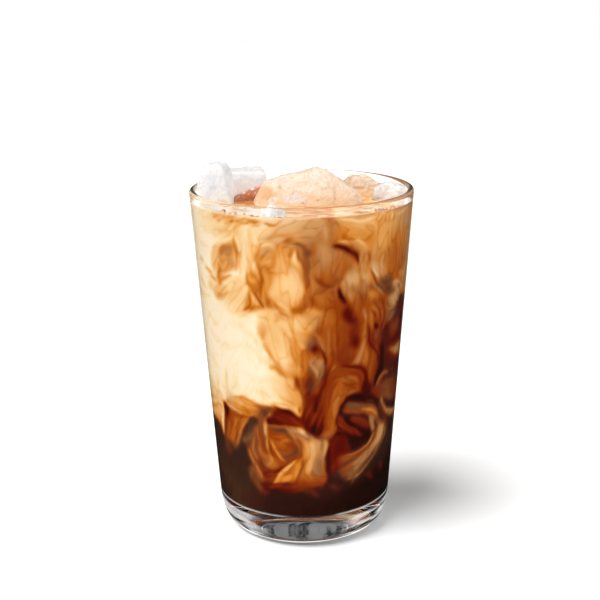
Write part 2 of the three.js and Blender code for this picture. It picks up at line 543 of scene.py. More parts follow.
def smooth(low, high, value):
    share = np.clip((value - low) / (high - low), 0, 1)
    return share * share * (3 - 2 * share)


class Noise:
    # Smooth noise between -1 and 1, the same on every run.
    def __init__(self, seed):
        draw = np.random.RandomState(seed)
        self.order = np.concatenate([draw.permutation(256)] * 3)
        slopes = draw.normal(size=(256, 3))
        self.slopes = slopes / np.linalg.norm(slopes, axis=1)[:, None]

    def at(self, x, y, z):
        cell = [np.floor(v).astype(int) for v in (x, y, z)]
        part = [v - c for v, c in zip((x, y, z), cell)]
        ease = [p * p * p * (p * (p * 6 - 15) + 10) for p in part]
        total = 0
        for dx in (0, 1):
            for dy in (0, 1):
                for dz in (0, 1):
                    pick = self.order[(cell[0] + dx) & 255] + ((cell[1] + dy) & 255)
                    pick = self.order[self.order[pick] + ((cell[2] + dz) & 255)]
                    slope = self.slopes[pick]
                    value = (slope[..., 0] * (part[0] - dx) + slope[..., 1] * (part[1] - dy)
                             + slope[..., 2] * (part[2] - dz))
                    weight = 1
                    for d, e in zip((dx, dy, dz), ease):
                        weight = weight * (e if d else 1 - e)
                    total = total + weight * value
        return total * 1.5

    def rough(self, x, y, z, octaves=3):
        total, size = 0, 1.0
        for step in range(octaves):
            total = total + size * self.at(x * 2 ** step + 7.3 * step, y * 2 ** step, z * 2 ** step)
            size *= 0.5
        return total


def curve(points, closed=False, steps=7):
    # A smooth line through the points, as rows of (s, z).
    p = np.asarray(points, float)
    if closed:
        ring = np.concatenate([p[-1:], p, p[:2]])
    else:
        ring = np.concatenate([2 * p[:1] - p[1:2], p, 2 * p[-1:] - p[-2:-1]])
    t = np.linspace(0, 1, steps, endpoint=False)[:, None]
    rows = []
    for a, b, c, d in zip(ring, ring[1:], ring[2:], ring[3:]):
        rows.append(0.5 * (2 * b + (c - a) * t + (2 * a - 5 * b + 4 * c - d) * t ** 2
                           + (3 * b - a - 3 * c + d) * t ** 3))
    rows = np.concatenate(rows)
    return rows if closed else np.concatenate([rows, p[-1:]])


def nearest(line, s, z):
    # Distance run along the line, offset to its left, its length and its direction there.
    a, along = line[:-1], np.diff(line, axis=0)
    length = np.hypot(*along.T) + 1e-9
    start = np.concatenate([[0], np.cumsum(length)])
    best = np.full(s.shape, np.inf)
    run, side, way = (np.zeros(s.shape) for _ in range(3))
    for (ax, az), (dx, dz), size, begin in zip(a, along, length, start):
        px, pz = s - ax, z - az
        share = np.clip((px * dx + pz * dz) / size ** 2, 0, 1)
        gap = (px - share * dx) ** 2 + (pz - share * dz) ** 2
        closer = gap < best
        best = np.where(closer, gap, best)
        run = np.where(closer, begin + share * size, run)
        side = np.where(closer, np.where(dx * pz - dz * px > 0, 1, -1), side)
        way = np.where(closer, math.atan2(dz, dx), way)
    return run, side * np.sqrt(best), start[-1], way


def inPolygon(line, s, z):
    inside = np.zeros(s.shape, bool)
    for (ax, az), (bx, bz) in zip(line, np.roll(line, -1, 0)):
        if az != bz:
            crosses = (az > z) != (bz > z)
            inside ^= crosses & (s < (bx - ax) * (z - az) / (bz - az) + ax)
    return inside


class Canvas:
    # The wall of the drink laid flat: s runs round it in millimetres, z is the height.
    def __init__(self, low, high, step=0.25, closed=False):
        self.step, self.low, self.closed = step, low, closed
        across = np.arange(low[0], high[0] - step / 2, step)
        up = np.arange(low[1], high[1] + step / 2, step)
        self.around, self.up = np.meshgrid(across, up)
        wob = Noise(3)
        angle = self.around / 36
        x, y, z = 4 * np.cos(angle), 4 * np.sin(angle), self.up * 0.11
        self.s = self.around + 0.8 * wob.rough(x, y, z) + 0.2 * wob.rough(x * 4, y * 4, z * 4, 2)
        self.z = self.up + 0.8 * wob.rough(x + 50, y, z) + 0.2 * wob.rough(x * 4 + 50, y * 4, z * 4, 2)
        self.mix = np.zeros(self.s.shape + (2,))
        self.flow = np.zeros(self.s.shape + (2,))
        self.grain = Noise(5)
        self.place = lambda p: p
        self.softness = 1.15

    def line(self, points, closed=False):
        return curve([self.place(p) for p in points], closed)

    def near(self, low, high):
        inside = (self.s > low[0]) & (self.s < high[0]) & (self.z > low[1]) & (self.z < high[1])
        return np.nonzero(inside)

    def lay(self, where, paint, place, cover, way=None):
        tones = np.array([mixes[name] for name in paint])
        stops = np.linspace(0, 1, len(paint))
        place = np.clip(place, 0, 1)
        shade = np.stack([np.interp(place, stops, tones[:, k]) for k in range(2)], -1)
        cover = cover[..., None]
        self.mix[where] = self.mix[where] * (1 - cover) + shade * cover
        if way is not None:
            turn = np.stack([np.cos(2 * way), np.sin(2 * way)], -1) + np.zeros(cover.shape[:-1] + (2,))
            self.flow[where] = self.flow[where] * (1 - cover) + turn * cover

    def threads(self, across, along, seed):
        fine = self.grain.at(across * 0.9, along * 0.05, 0 * along + seed)
        return fine + 0.35 * self.grain.at(across * 2.5, along * 0.1, 0 * along + seed + 20)

    def ribbon(self, path, wide, paint, soft=0.5, ends=(0.12, 0.12), streak=0.25, cover=1.0):
        soft *= self.softness
        line = self.line(path)
        reach = max(wide) + soft
        where = self.near(line.min(0) - reach, line.max(0) + reach)
        s, z = self.s[where], self.z[where]
        if not s.size:
            return
        run, side, length, way = nearest(line, s, z)
        share = run / length
        half = np.interp(share, np.linspace(0, 1, len(wide)), wide)
        mask = smooth(-soft / 2, soft / 2, half - np.abs(side))
        for end, near in zip(ends, (share, 1 - share)):
            if end:
                mask = mask * smooth(0, end, near)
        place = 0.5 - 0.5 * side / half
        thread = self.threads(side, run, path[0][0])
        self.lay(where, paint, place + streak * thread, mask * cover, way)

    def sheet(self, left, right, paint, soft=0.6, ends=(0.08, 0.12), streak=0.2, cover=1.0):
        soft *= self.softness
        a, b = self.line(left), self.line(right)
        both = np.concatenate([a, b[::-1]])
        where = self.near(both.min(0) - soft, both.max(0) + soft)
        s, z = self.s[where], self.z[where]
        if not s.size:
            return
        runA, gapA, lengthA, wayA = nearest(a, s, z)
        runB, gapB, lengthB, wayB = nearest(b, s, z)
        gapA, gapB = np.abs(gapA), np.abs(gapB)
        share = 0.5 * (runA / lengthA + runB / lengthB)
        deep = np.minimum(gapA, gapB) * np.where(inPolygon(both, s, z), 1, -1)
        mask = smooth(-soft / 2, soft / 2, deep)
        for end, way in zip(ends, (share, 1 - share)):
            if end:
                mask = mask * smooth(0, end, way)
        across = gapA / (gapA + gapB + 1e-6)
        wide = np.hypot(*(a.mean(0) - b.mean(0)))
        thread = self.threads(across * wide, runA, left[0][0])
        x = np.cos(wayA) * (1 - across) + np.cos(wayB) * across
        y = np.sin(wayA) * (1 - across) + np.sin(wayB) * across
        self.lay(where, paint, across + streak * 0.6 * thread, mask * cover, np.arctan2(y, x))

    def mass(self, edge, paint, toward=90, soft=1.0, rim=None, streak=0.1, cover=1.0, flow=None):
        soft *= self.softness
        line = self.line(edge, closed=True)
        where = self.near(line.min(0) - soft, line.max(0) + soft)
        s, z = self.s[where], self.z[where]
        if not s.size:
            return
        gap = nearest(np.concatenate([line, line[:1]]), s, z)[1]
        deep = np.abs(gap) * np.where(inPolygon(line, s, z), 1, -1)
        way = math.radians(toward)
        ahead = np.array([math.cos(way), math.sin(way)])
        reach = s * ahead[0] + z * ahead[1]
        ends = line @ ahead
        turn = z * ahead[0] - s * ahead[1]
        thread = self.threads(turn * 0.4, reach, edge[0][0])
        cover = smooth(-soft / 2, soft / 2, deep) * cover
        way = None if flow is None else math.radians(flow)
        self.lay(where, paint, (reach - ends.min()) / np.ptp(ends) + streak * 0.6 * thread, cover, way)
        if rim:
            name, depth = rim
            self.lay(where, [name], reach * 0, cover * np.exp(-np.clip(deep, 0, None) / depth))

    def blurred(self, field, times):
        for _ in range(times):
            wide = np.pad(field, ((1, 1), (0, 0), (0, 0)), mode="edge")
            field = (wide[:-2] + 2 * field + wide[2:]) / 4
            wide = np.pad(field, ((0, 0), (1, 1), (0, 0)), mode="wrap" if self.closed else "edge")
            field = (wide[:, :-2] + 2 * field + wide[:, 2:]) / 4
        return field

    def pick(self, field, column, row):
        high, wide = field.shape[:2]
        row = np.clip(row, 0, high - 1.001)
        column = column % wide if self.closed else np.clip(column, 0, wide - 1.001)
        r, k = np.floor(row).astype(int), np.floor(column).astype(int)
        k = k % wide
        nextK = (k + 1) % wide
        fr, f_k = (row - r)[..., None], (column - np.floor(column))[..., None]
        low = field[r, k] * (1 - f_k) + field[r, nextK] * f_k
        high = field[r + 1, k] * (1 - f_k) + field[r + 1, nextK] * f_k
        return low * (1 - fr) + high * fr

    def drawn(self, field, reach, flow):
        # The field drawn out along the flow, as milk is by the pour.
        rows, columns = np.indices(self.s.shape)
        stride = 2
        total, weight = field.copy(), 1.0
        steps = int(reach / self.step / stride)
        for sign in (1, -1):
            row, column = rows.astype(float), columns.astype(float)
            dx, dy = sign * flow[..., 0], sign * flow[..., 1]
            for step in range(steps):
                column, row = column + dx * stride, row + dy * stride
                way = self.pick(flow, column, row)
                turn = np.where(way[..., 0] * dx + way[..., 1] * dy < 0, -1, 1)
                dx, dy = way[..., 0] * turn, way[..., 1] * turn
                share = 0.5 + 0.5 * math.cos(math.pi * (step + 1) / (steps + 1))
                total += share * self.pick(field, column, row)
                weight += 0 if sign < 0 else 2 * share
        return total / weight

    def finish(self, reach=1.2, silk=0.018, veins=0.1):
        flow = self.blurred(self.flow, int((1.0 / self.step) ** 2))
        way = np.arctan2(flow[..., 1], flow[..., 0]) / 2
        flow = np.stack([np.cos(way), np.sin(way)], -1)
        self.mix = self.blurred(self.mix, int((0.22 / self.step) ** 2 + 0.5))
        self.mix = self.drawn(self.mix, reach, flow)
        dust = np.random.RandomState(9).normal(size=self.s.shape + (1,))
        fine = self.drawn(self.blurred(dust, 1), 4.5, flow)
        broad = self.drawn(self.blurred(dust[::-1], int((0.7 / self.step) ** 2)), 6, flow)
        thread = (0.5 * fine / fine.std() + broad / broad.std())[..., 0]
        # folds, each sharp on one side and fading on the other
        vein = self.drawn(self.blurred(dust[:, ::-1], int((1.4 / self.step) ** 2)), 7, flow)[..., 0]
        vein = vein / vein.std()
        vein = np.where(vein > 0, np.exp(-2 * np.abs(vein)), np.exp(-8 * np.abs(vein)))
        milk = self.mix[..., 0]
        milk = milk - veins * (vein - 0.1) * smooth(0.3, 0.5, milk) * smooth(1.05, 0.75, milk)
        self.mix[..., 0] = np.clip(milk + silk * thread * smooth(0.02, 0.3, milk) * (1.1 - milk), 0, 1)
        self.mix[..., 1] = np.clip(self.mix[..., 1] + 2 * silk * thread, 0, 1)
        self.colour = mixedColours(self.mix)
        return self.colour
def box(s0, z0, s1, z1):
    return [(s0, z0), ((s0 + s1) / 2, z0), (s1, z0), (s1, (z0 + z1) / 2), (s1, z1), ((s0 + s1) / 2, z1), (s0, z1),
            (s0, (z0 + z1) / 2)]


def oval(s, z, wide, high, tilt=0):
    turn = math.radians(tilt)
    rows = []
    for k in range(8):
        a = 2 * math.pi * k / 8
        x, y = wide * math.cos(a), high * math.sin(a)
        rows.append((s + x * math.cos(turn) - y * math.sin(turn), z + x * math.sin(turn) + y * math.cos(turn)))
    return rows


def ground(c):
    # milk thins out downwards, in clouds that the pour has drawn out
    levels = [9, 18, 27, 34, 41, 50, 62, 76, 90, 104, 116, 124, 132]
    names = ["cocoa", "cocoa", "cocoa", "umber", "bark", "sienna", "sienna", "copper", "copper", "caramel",
             "apricot", "apricot", "honey"]
    tones = np.array([mixes[name] for name in names])
    x, y, z = 2 * np.cos(c.s / 36), 2 * np.sin(c.s / 36), c.z * 0.035
    bend = c.grain.rough(x, y, z)
    cloud = c.grain.rough(x * 1.6 + bend, y * 1.6 + 5, z * 1.6 + bend)
    height = c.z + 5 * bend
    c.mix[:] = np.stack([np.interp(height, levels, tones[:, k]) for k in range(2)], -1)
    c.mix[..., 0] += 0.22 * cloud * smooth(34, 60, c.z)
    way = 1.2 + 1.6 * c.grain.rough(x + 9, y, z, 2)
    c.flow[:] = np.stack([np.cos(2 * way), np.sin(2 * way)], -1)


def creamMass(c):
    c.mass([(-80, 134), (-48, 134), (-16, 134), (-15, 124), (-15.5, 112), (-14.5, 98), (-14.5, 90), (-13.5, 83),
            (-11, 78), (-8.5, 74), (-4.5, 71), (-3, 68), (-1.6, 63.5), (-0.6, 60), (-0.5, 57), (-0.9, 54.8),
            (-2.5, 55.5), (-4.5, 57.6), (-9, 58.6), (-17, 58.4), (-20, 58.7), (-23, 60), (-25, 60.3), (-28, 59.6),
            (-31.5, 58.2), (-34.5, 56), (-36.8, 53), (-37.4, 49), (-38.2, 43), (-39.3, 39.6), (-40.5, 43.2),
            (-43, 47.5), (-49, 53), (-60, 56), (-72, 52), (-80, 60)],
           ["butter", "butter", "cream", "cream", "cream", "cream", "cream", "cream"], soft=0.9, streak=0.12)


def curlDarkness(c):
    # dark red under the milk's edge
    c.mass([(-1.5, 63), (3, 64), (7, 63), (9, 56), (8.4, 49), (4, 46.5), (0.5, 48.5), (-1.2, 54)],
           ["maroon", "ember", "rust", "garnet"], toward=70, soft=1.6, flow=70)
    for path, wide in (([(2, 49.5), (3, 53), (5.4, 58), (6.6, 63)], [0.2, 0.7, 0.8, 0.4]),
                       ([(4.6, 49.5), (5.9, 53.5), (7.2, 57), (8, 61)], [0.2, 0.5, 0.5, 0.2]),
                       ([(0.4, 52), (1.2, 56), (3, 60.5)], [0.3, 0.6, 0.3])):
        c.ribbon(path, wide, ["garnet", "sienna", "rust"], soft=0.8, ends=(0.3, 0.3))
    c.ribbon([(1, 49), (2.6, 48), (3.4, 50), (4.4, 53)], [0.4, 0.9, 0.7, 0.2], ["maroon", "night"], soft=0.9)
    # darkness inside the curl
    c.mass([(12, 62), (20, 60), (28, 60), (38, 62), (48, 60), (48, 42), (42, 38), (33, 34), (30, 30), (22, 28),
            (15, 29), (9, 31), (8.5, 40), (9, 45), (12, 50)], ["umber", "umber", "night"], soft=2)
    c.mass([(12, 56), (18, 52), (27, 50), (30, 45), (27, 41), (18, 40), (12, 44)], ["night", "maroon", "night"],
           toward=120, soft=3)
    c.mass([(9.4, 45), (14, 45.6), (18, 43), (19, 38), (16, 33.6), (12, 31), (9.6, 32)],
           ["garnet", "ember", "ember", "garnet"], toward=60, soft=2.2, flow=70)
    c.ribbon([(13.2, 56), (15, 52.5), (18, 49), (22, 45.5), (25.5, 43.2)], [0.5, 1.1, 1.1, 0.9, 0.3],
             ["sienna", "rust", "garnet"], soft=1.4)
    c.ribbon([(13.4, 53), (15.2, 49.8), (18, 47), (21, 44.5)], [0.2, 0.4, 0.4, 0.2], ["copper", "rust"], soft=0.8)
    c.ribbon([(18, 52.4), (22, 51), (26, 48.5), (29, 46.5)], [0.8, 1.8, 1.6, 0.5], ["sienna", "rust", "rust"],
             soft=1.8, cover=0.9)
    c.ribbon([(16, 53.5), (19, 50), (23, 47.2)], [0.3, 0.8, 0.3], ["night"], soft=1)
    c.ribbon([(16.5, 43.6), (20, 42.4), (25, 42), (29.5, 43.5)], [0.5, 1.3, 1.4, 0.5], ["night", "maroon"], soft=1.4)
    c.ribbon([(10, 47), (14, 48.6), (17, 46.4)], [0.4, 1, 0.4], ["maroon", "rust"], soft=1.4)
    # to the right of the curl
    c.mass([(29, 62), (38, 63.5), (48, 61), (48, 53), (41, 54), (37, 56.5), (31, 58)],
           ["rust", "brick", "rust"], toward=20, soft=2.4, flow=150)


def curlFolds(c):
    # pale strand at the right edge
    c.sheet([(33.4, 59), (35.6, 57.4), (37.4, 54), (40, 51.4), (44, 50), (50, 49)],
            [(32.8, 58), (34.6, 54.6), (36.8, 51), (39.6, 48.4), (43, 46.6), (50, 44.6)],
            ["tan", "beige", "tan", "coral", "brick"], soft=1.4, ends=(0.12, 0), streak=0.35)
    c.ribbon([(32.4, 57), (33.8, 54), (35.6, 51), (38.4, 48.6), (42, 46)], [0.3, 0.7, 0.7, 0.7, 0.3], ["garnet", "bark"],
             soft=1.4)
    # the strand that closes the curl
    c.sheet([(15.4, 60.6), (19, 59.6), (22, 58.6), (26, 57.2), (30, 55.6), (32.6, 53.2), (33.8, 50.8), (35.2, 49),
             (38, 47.4)],
            [(14.4, 57.4), (17, 55.4), (20, 54.2), (23.5, 53.2), (26.4, 52.2), (28.4, 50.8), (30.6, 49.4), (32, 47.4),
             (33.4, 45)],
            ["bark", "olive", "brick", "olive", "copper", "toffee"], soft=1.5, ends=(0.1, 0.1), streak=0.35)
    c.ribbon([(22, 56), (26, 54.7), (29.6, 53.4), (31.8, 51.4), (32.9, 49.4)], [0.2, 0.6, 1.1, 0.9, 0.2],
             ["copper", "caramel", "apricot", "caramel"], soft=1.6, cover=0.85)
    c.ribbon([(25.6, 57.8), (28.4, 57), (31, 56.8)], [0.3, 0.5, 0.2], ["mauve", "bark"], soft=1.2, cover=0.6)
    c.mass([(27.6, 51.6), (30, 51), (31.8, 48.8), (32.6, 46.4), (31, 45), (29, 46.6), (28, 49)],
           ["olive", "tan", "mauve", "tan"], soft=1.3, toward=30, streak=0.3, flow=105)
    c.ribbon([(31, 50), (32.2, 47.8), (33.2, 46.9), (33, 45.6), (31.6, 44.4)], [0.2, 0.5, 0.6, 0.5, 0.2],
             ["rust", "maroon"], soft=0.9)
    # red glow in the hollow
    c.mass([(9, 44.6), (13, 44), (16.6, 42), (18, 38.4), (15, 35), (12, 31.6), (9.6, 29), (9, 36)],
           ["ember", "garnet", "ember"], toward=30, soft=2, flow=80)
    c.mass(oval(13.6, 38.6, 3, 3.6, -20), ["ember"], soft=3, cover=0.85)
    c.ribbon([(9.8, 43), (9.6, 38), (9.8, 33), (11.4, 29)], [0.4, 0.7, 0.7, 0.3], ["maroon"], soft=1.4, cover=0.8)
    # inner strand and the orange glow below it
    c.sheet([(13, 38), (17, 37.8), (21, 38.2), (25.6, 39.4), (29.2, 41), (31.4, 44), (32.8, 46)],
            [(11, 31.6), (14, 32.8), (18.4, 34.4), (23, 35.8), (27.6, 38.2), (31, 41.4), (33, 44.6)],
            ["rust", "sienna", "copper", "olive", "sienna", "sienna"], soft=1.5, ends=(0.2, 0.05))
    c.ribbon([(14, 37), (17.4, 37.5), (21, 37.8), (25.4, 38.9), (29, 40.6), (31, 43.2), (32.6, 45.4)],
             [0.2, 0.4, 0.45, 0.5, 0.5, 0.6, 0.2], ["caramel", "tan", "copper"], soft=0.9, ends=(0.25, 0.1))
    c.ribbon([(22, 36.6), (26, 37.7), (29.4, 39.6)], [0.2, 0.35, 0.2], ["rust"], soft=0.8, cover=0.8)
    # right sweeping ribbon
    c.sheet([(34.6, 49), (32.9, 45), (31.4, 42), (28, 38.6), (23.2, 35.6), (18.4, 33.8), (13.4, 31.6), (10.6, 29)],
            [(38.4, 47), (40.2, 43.6), (39.8, 39.6), (36.2, 36), (31.4, 32.3), (26.8, 29), (22, 26.6), (17, 26.4)],
            ["toffee", "tan", "tan", "tan", "olive", "tan", "bark"], soft=1.9, ends=(0.05, 0.18), streak=0.35)
    c.sheet([(34, 47.6), (33.8, 44.6), (32.4, 41.6), (29, 38)], [(38, 46.6), (38.2, 43.4), (36.6, 39.8), (32.4, 36)],
            ["tan", "beige", "rose", "tan"], soft=2, ends=(0.2, 0.45), cover=0.85)
    c.ribbon([(35.6, 48.8), (38.8, 46.6), (41.2, 43.4), (41, 39.6)], [0.3, 0.9, 0.9, 0.3], ["sienna", "rust"],
             soft=1.8, cover=0.8)
    c.sheet([(22, 34.6), (17, 32.8), (12.6, 30.8)], [(23, 30.4), (18.6, 28.8), (14.4, 28.4)],
            ["copper", "sienna", "olive", "toffee"], soft=2, ends=(0.3, 0.25), cover=0.85)
    c.ribbon([(31.4, 38.6), (27.6, 35.2), (23.4, 32.6), (20, 30.4)], [0.3, 0.7, 0.8, 0.3], ["tan", "mauve"], soft=1.8,
             cover=0.7)
    c.ribbon([(33, 36.4), (29, 33), (25, 30.2), (22.4, 28.4)], [0.3, 0.6, 0.6, 0.3], ["bark", "umber"],
             soft=1.6, cover=0.6)
    c.ribbon([(22.6, 30), (21.4, 28), (20.6, 25.6), (20.2, 24)], [0.4, 0.8, 0.6, 0.2], ["mauve", "bark"], soft=1.4,
             cover=0.8)
    # tan big fold on the left of the curl
    c.mass([(-7, 50.6), (-3, 50.8), (-0.6, 49.8), (2.4, 47.8), (5.2, 45.8), (8, 45), (9.2, 43), (8.6, 40.6), (8, 37.6),
            (8.6, 33), (9.4, 28), (5, 26.4), (-1, 26.4), (-3, 29), (-1.4, 33), (0, 37), (-1.6, 42), (-4, 46)],
           ["copper", "caramel", "apricot", "tan"], toward=80, soft=1.3, streak=0.3, flow=100)
    c.sheet([(-6, 51), (-2.8, 50.8), (-0.6, 49.8), (2.4, 47.8), (5.4, 45.7)],
            [(-5, 48), (-3, 47.4), (-0.8, 46.4), (1.6, 45.4), (4, 44.8)],
            ["copper", "tan", "beige", "mauve", "coral"], soft=1.2, ends=(0.15, 0.2), streak=0.3)
    c.ribbon([(-2.8, 50.2), (-1, 49.2), (0.6, 48)], [0.4, 0.9, 0.3], ["butter", "peach"], soft=1.3, cover=0.9)
    c.ribbon([(1, 48.2), (3, 46.9), (5.4, 45.6), (7, 45.3)], [0.4, 0.8, 0.6, 0.2], ["mauve", "tan"], soft=1.2, cover=0.8)
    c.sheet([(-0.4, 45), (0.6, 41), (0.6, 37), (-0.6, 33), (-1.4, 28)],
            [(8.2, 44.4), (8.4, 41), (7.6, 37), (7.4, 32), (8.4, 28)],
            ["caramel", "apricot", "rose", "tan", "tan", "beige"], soft=1.6, ends=(0.05, 0.4), streak=0.3)
    c.mass(oval(3.4, 42.4, 2.8, 2.8, -10), ["rose", "honey"], soft=4, cover=0.5)
    c.ribbon([(-3.6, 46.6), (-1.6, 44.4), (-1, 41.4), (-2.2, 38.6)], [0.4, 1, 1, 0.3], ["copper", "olive", "copper"],
             soft=1.8, cover=0.85)
    c.ribbon([(-4.6, 34), (-1.8, 36.4), (0.4, 39.6), (1.2, 42)], [0.4, 0.9, 0.8, 0.2], ["orange", "apricot"], soft=1.8,
             ends=(0.2, 0.35), cover=0.85)
    c.sheet([(3.6, 39), (4.2, 35.6), (3.8, 32), (4.6, 29)], [(8, 39), (7.6, 35.6), (8, 32), (8.8, 28)],
            ["tan", "mauve", "mauve", "toffee"], soft=2.2, ends=(0.3, 0.2), cover=0.85)
    c.sheet([(-3, 31.6), (0.6, 31.4), (4, 30.4), (8.6, 30.6)], [(-3, 26.6), (1, 25.8), (5, 25.6), (9.6, 26.4)],
            ["caramel", "copper", "sienna", "rust"], soft=2.2, ends=(0.2, 0.2), cover=0.8)
    c.ribbon([(1.4, 31.6), (3, 29.4), (5.4, 28)], [0.3, 0.8, 0.3], ["caramel"], soft=1.8, cover=0.7)
    c.ribbon([(6.6, 45.4), (8.2, 45), (9, 43.4), (8.7, 41)], [0.2, 0.45, 0.5, 0.2], ["rose", "beige"], soft=1,
             cover=0.8)
    # wisps in the coffee
    for path, wide in (([(-3, 26.6), (1, 24.6), (4, 22.8), (7.6, 20.4)], [0.3, 1, 0.8, 0.2]),
                       ([(1, 26.4), (4, 24.2), (7, 21.6)], [0.2, 0.7, 0.2]),
                       ([(8, 27), (11.4, 26), (14.6, 24.2), (17, 21.6)], [0.2, 0.9, 0.7, 0.2]),
                       ([(27, 28.4), (30.4, 26), (34.4, 22.8)], [0.3, 1.2, 0.3]),
                       ([(36, 31), (38.4, 27.6), (40, 23)], [0.3, 1.2, 0.3])):
        c.ribbon(path, wide, ["rust", "toffee"], soft=2.2, ends=(0.3, 0.4), cover=0.5)


def lowerLeft(c):
    # coffee at the bottom, brown on the left and nearly black on the right; the lighter brown on the left, with its
    # straight edge near s = -19, is in part a painted reflection of a glare band on the glass
    c.mass([(-60, 38), (-40, 40), (-28, 34), (-19, 26), (-18, 6), (-60, 6)], ["bark", "umber", "bark", "cocoa"], toward=0,
           soft=5, flow=80)
    c.mass([(-14, 24), (4, 21), (14, 22), (30, 26), (60, 30), (60, 6), (-10, 6)], ["cocoa", "night", "night"],
           toward=0, soft=5, flow=10)
    c.mass([(-48, 43), (-38, 42), (-30, 37), (-27, 43), (-21.4, 53), (-18, 53), (-18.6, 46), (-22, 42), (-25, 34),
            (-25, 22), (-46, 24)], ["bark", "umber", "bark"], toward=60, soft=2.4, flow=70)
    c.mass([(-25, 42), (-20, 48), (-16, 52), (-2, 52), (-1, 40), (-4, 32), (-12, 27), (-18, 28), (-22, 34)],
           ["rust", "sienna", "copper"], toward=80, soft=2.4, flow=80)
    # far left: the cream fades through rose and orange into the coffee
    c.mass([(-64, 64), (-44, 62), (-37, 58), (-37, 48), (-39.2, 41), (-42, 44.6), (-48, 46), (-64, 48)],
           ["rust", "apricot", "honey", "butter", "butter"], toward=95, soft=3, flow=-20)
    c.ribbon([(-52, 49), (-46, 51), (-42.6, 52.6), (-40, 54.6)], [0.5, 1.5, 1.2, 0.4], ["apricot", "orange", "apricot"],
             soft=2.4, cover=0.75)
    c.ribbon([(-50, 53), (-46, 54), (-42, 56.6), (-39, 59.6)], [0.6, 1.1, 0.9, 0.3], ["rose", "peach"], soft=2,
             cover=0.8)
    c.mass([(-50, 46), (-44.6, 45), (-41.4, 43), (-40, 39), (-46, 38), (-52, 40)], ["umber", "bark"], soft=3)
    # drape under the left of the milk
    c.sheet([(-36.3, 55), (-36.4, 50), (-37.3, 45.4), (-38.6, 41), (-38, 36)],
            [(-20.6, 53.2), (-22.8, 52), (-24.2, 49.7), (-26, 46.6), (-28.2, 42), (-32, 36)],
            ["rust", "sienna", "copper", "copper", "caramel", "copper", "caramel", "caramel"], soft=1.2, ends=(0, 0.3),
            streak=0.5)
    c.mass([(-37, 54), (-35.4, 55.4), (-33, 54.6), (-33.6, 51.6), (-35.4, 48.6), (-37, 49)], ["rust", "maroon", "ember"],
           toward=100, soft=1.6)
    c.ribbon([(-36.2, 49), (-36.6, 45.6), (-37.6, 42), (-37.8, 38.4)], [0.4, 0.9, 1, 0.5], ["rust", "brick"], soft=1.8,
             cover=0.8)
    for path, wide, paint in (([(-22.4, 52.4), (-25.6, 49.6), (-28, 46.4), (-30.6, 41)], 0.7, ("apricot", "caramel")),
                              ([(-22, 53), (-26, 51.8), (-29.6, 50.4), (-32.6, 50.6)], 0.6, ("amber", "copper")),
                              ([(-25, 52.8), (-29, 52.2), (-33, 52.4)], 0.4, ("sienna",)),
                              ([(-24.6, 50.4), (-28.6, 47.6), (-31, 44.6), (-33.6, 39)], 0.5, ("orange", "copper")),
                              ([(-30, 49), (-32.6, 45.6), (-35, 40)], 0.8, ("orange", "copper")),
                              ([(-28, 45), (-30.6, 41.6), (-33, 37.6)], 0.5, ("olive",)),
                              ([(-26.4, 49), (-29, 45), (-32, 40)], 0.35, ("sienna",)),
                              ([(-33, 49.6), (-34.4, 45), (-36, 40)], 0.4, ("caramel",))):
        c.ribbon(path, [0.2, wide, wide, 0.2], paint, soft=1, cover=0.75)
    c.mass(oval(-36.6, 36.6, 2.6, 3, 20), ["brick", "rust"], toward=-90, soft=3, cover=0.6)
    # layer right under the milk
    c.mass([(-34.4, 55.6), (-33, 54.6), (-30, 54.2), (-25, 53.3), (-20.5, 53), (-18.6, 52.8), (-17, 54), (-15, 56.6),
            (-14.4, 58.6), (-17, 59), (-20.4, 59.4), (-23, 60.4), (-28, 60), (-31.6, 58.6)],
           ["coral", "amber", "apricot", "amber", "caramel", "toffee"], toward=5, soft=1.2, streak=0.35, flow=-10)
    c.ribbon([(-31.6, 58.2), (-27, 58.6), (-22.6, 57.6), (-18, 56.8)], [0.4, 1.1, 1.2, 0.4], ["apricot", "honey"],
             soft=1.6, cover=0.7)
    c.ribbon([(-30, 55.4), (-25.6, 54.6), (-21, 54.4)], [0.3, 0.7, 0.3], ["copper", "orange"], soft=1.2, cover=0.7)
    c.mass([(-34, 57.6), (-32, 55.6), (-30, 56.4), (-29.6, 59.4), (-31, 62.6), (-33.6, 61.6)], ["rose", "peach"],
           soft=2.4, cover=0.75)
    c.ribbon([(-34.4, 57), (-34.2, 55.4), (-32.4, 54.6), (-29, 54.2), (-25, 53.6)], [0.25, 0.45, 0.45, 0.35, 0.1],
             ["rose", "peach"], soft=0.8, cover=0.85)
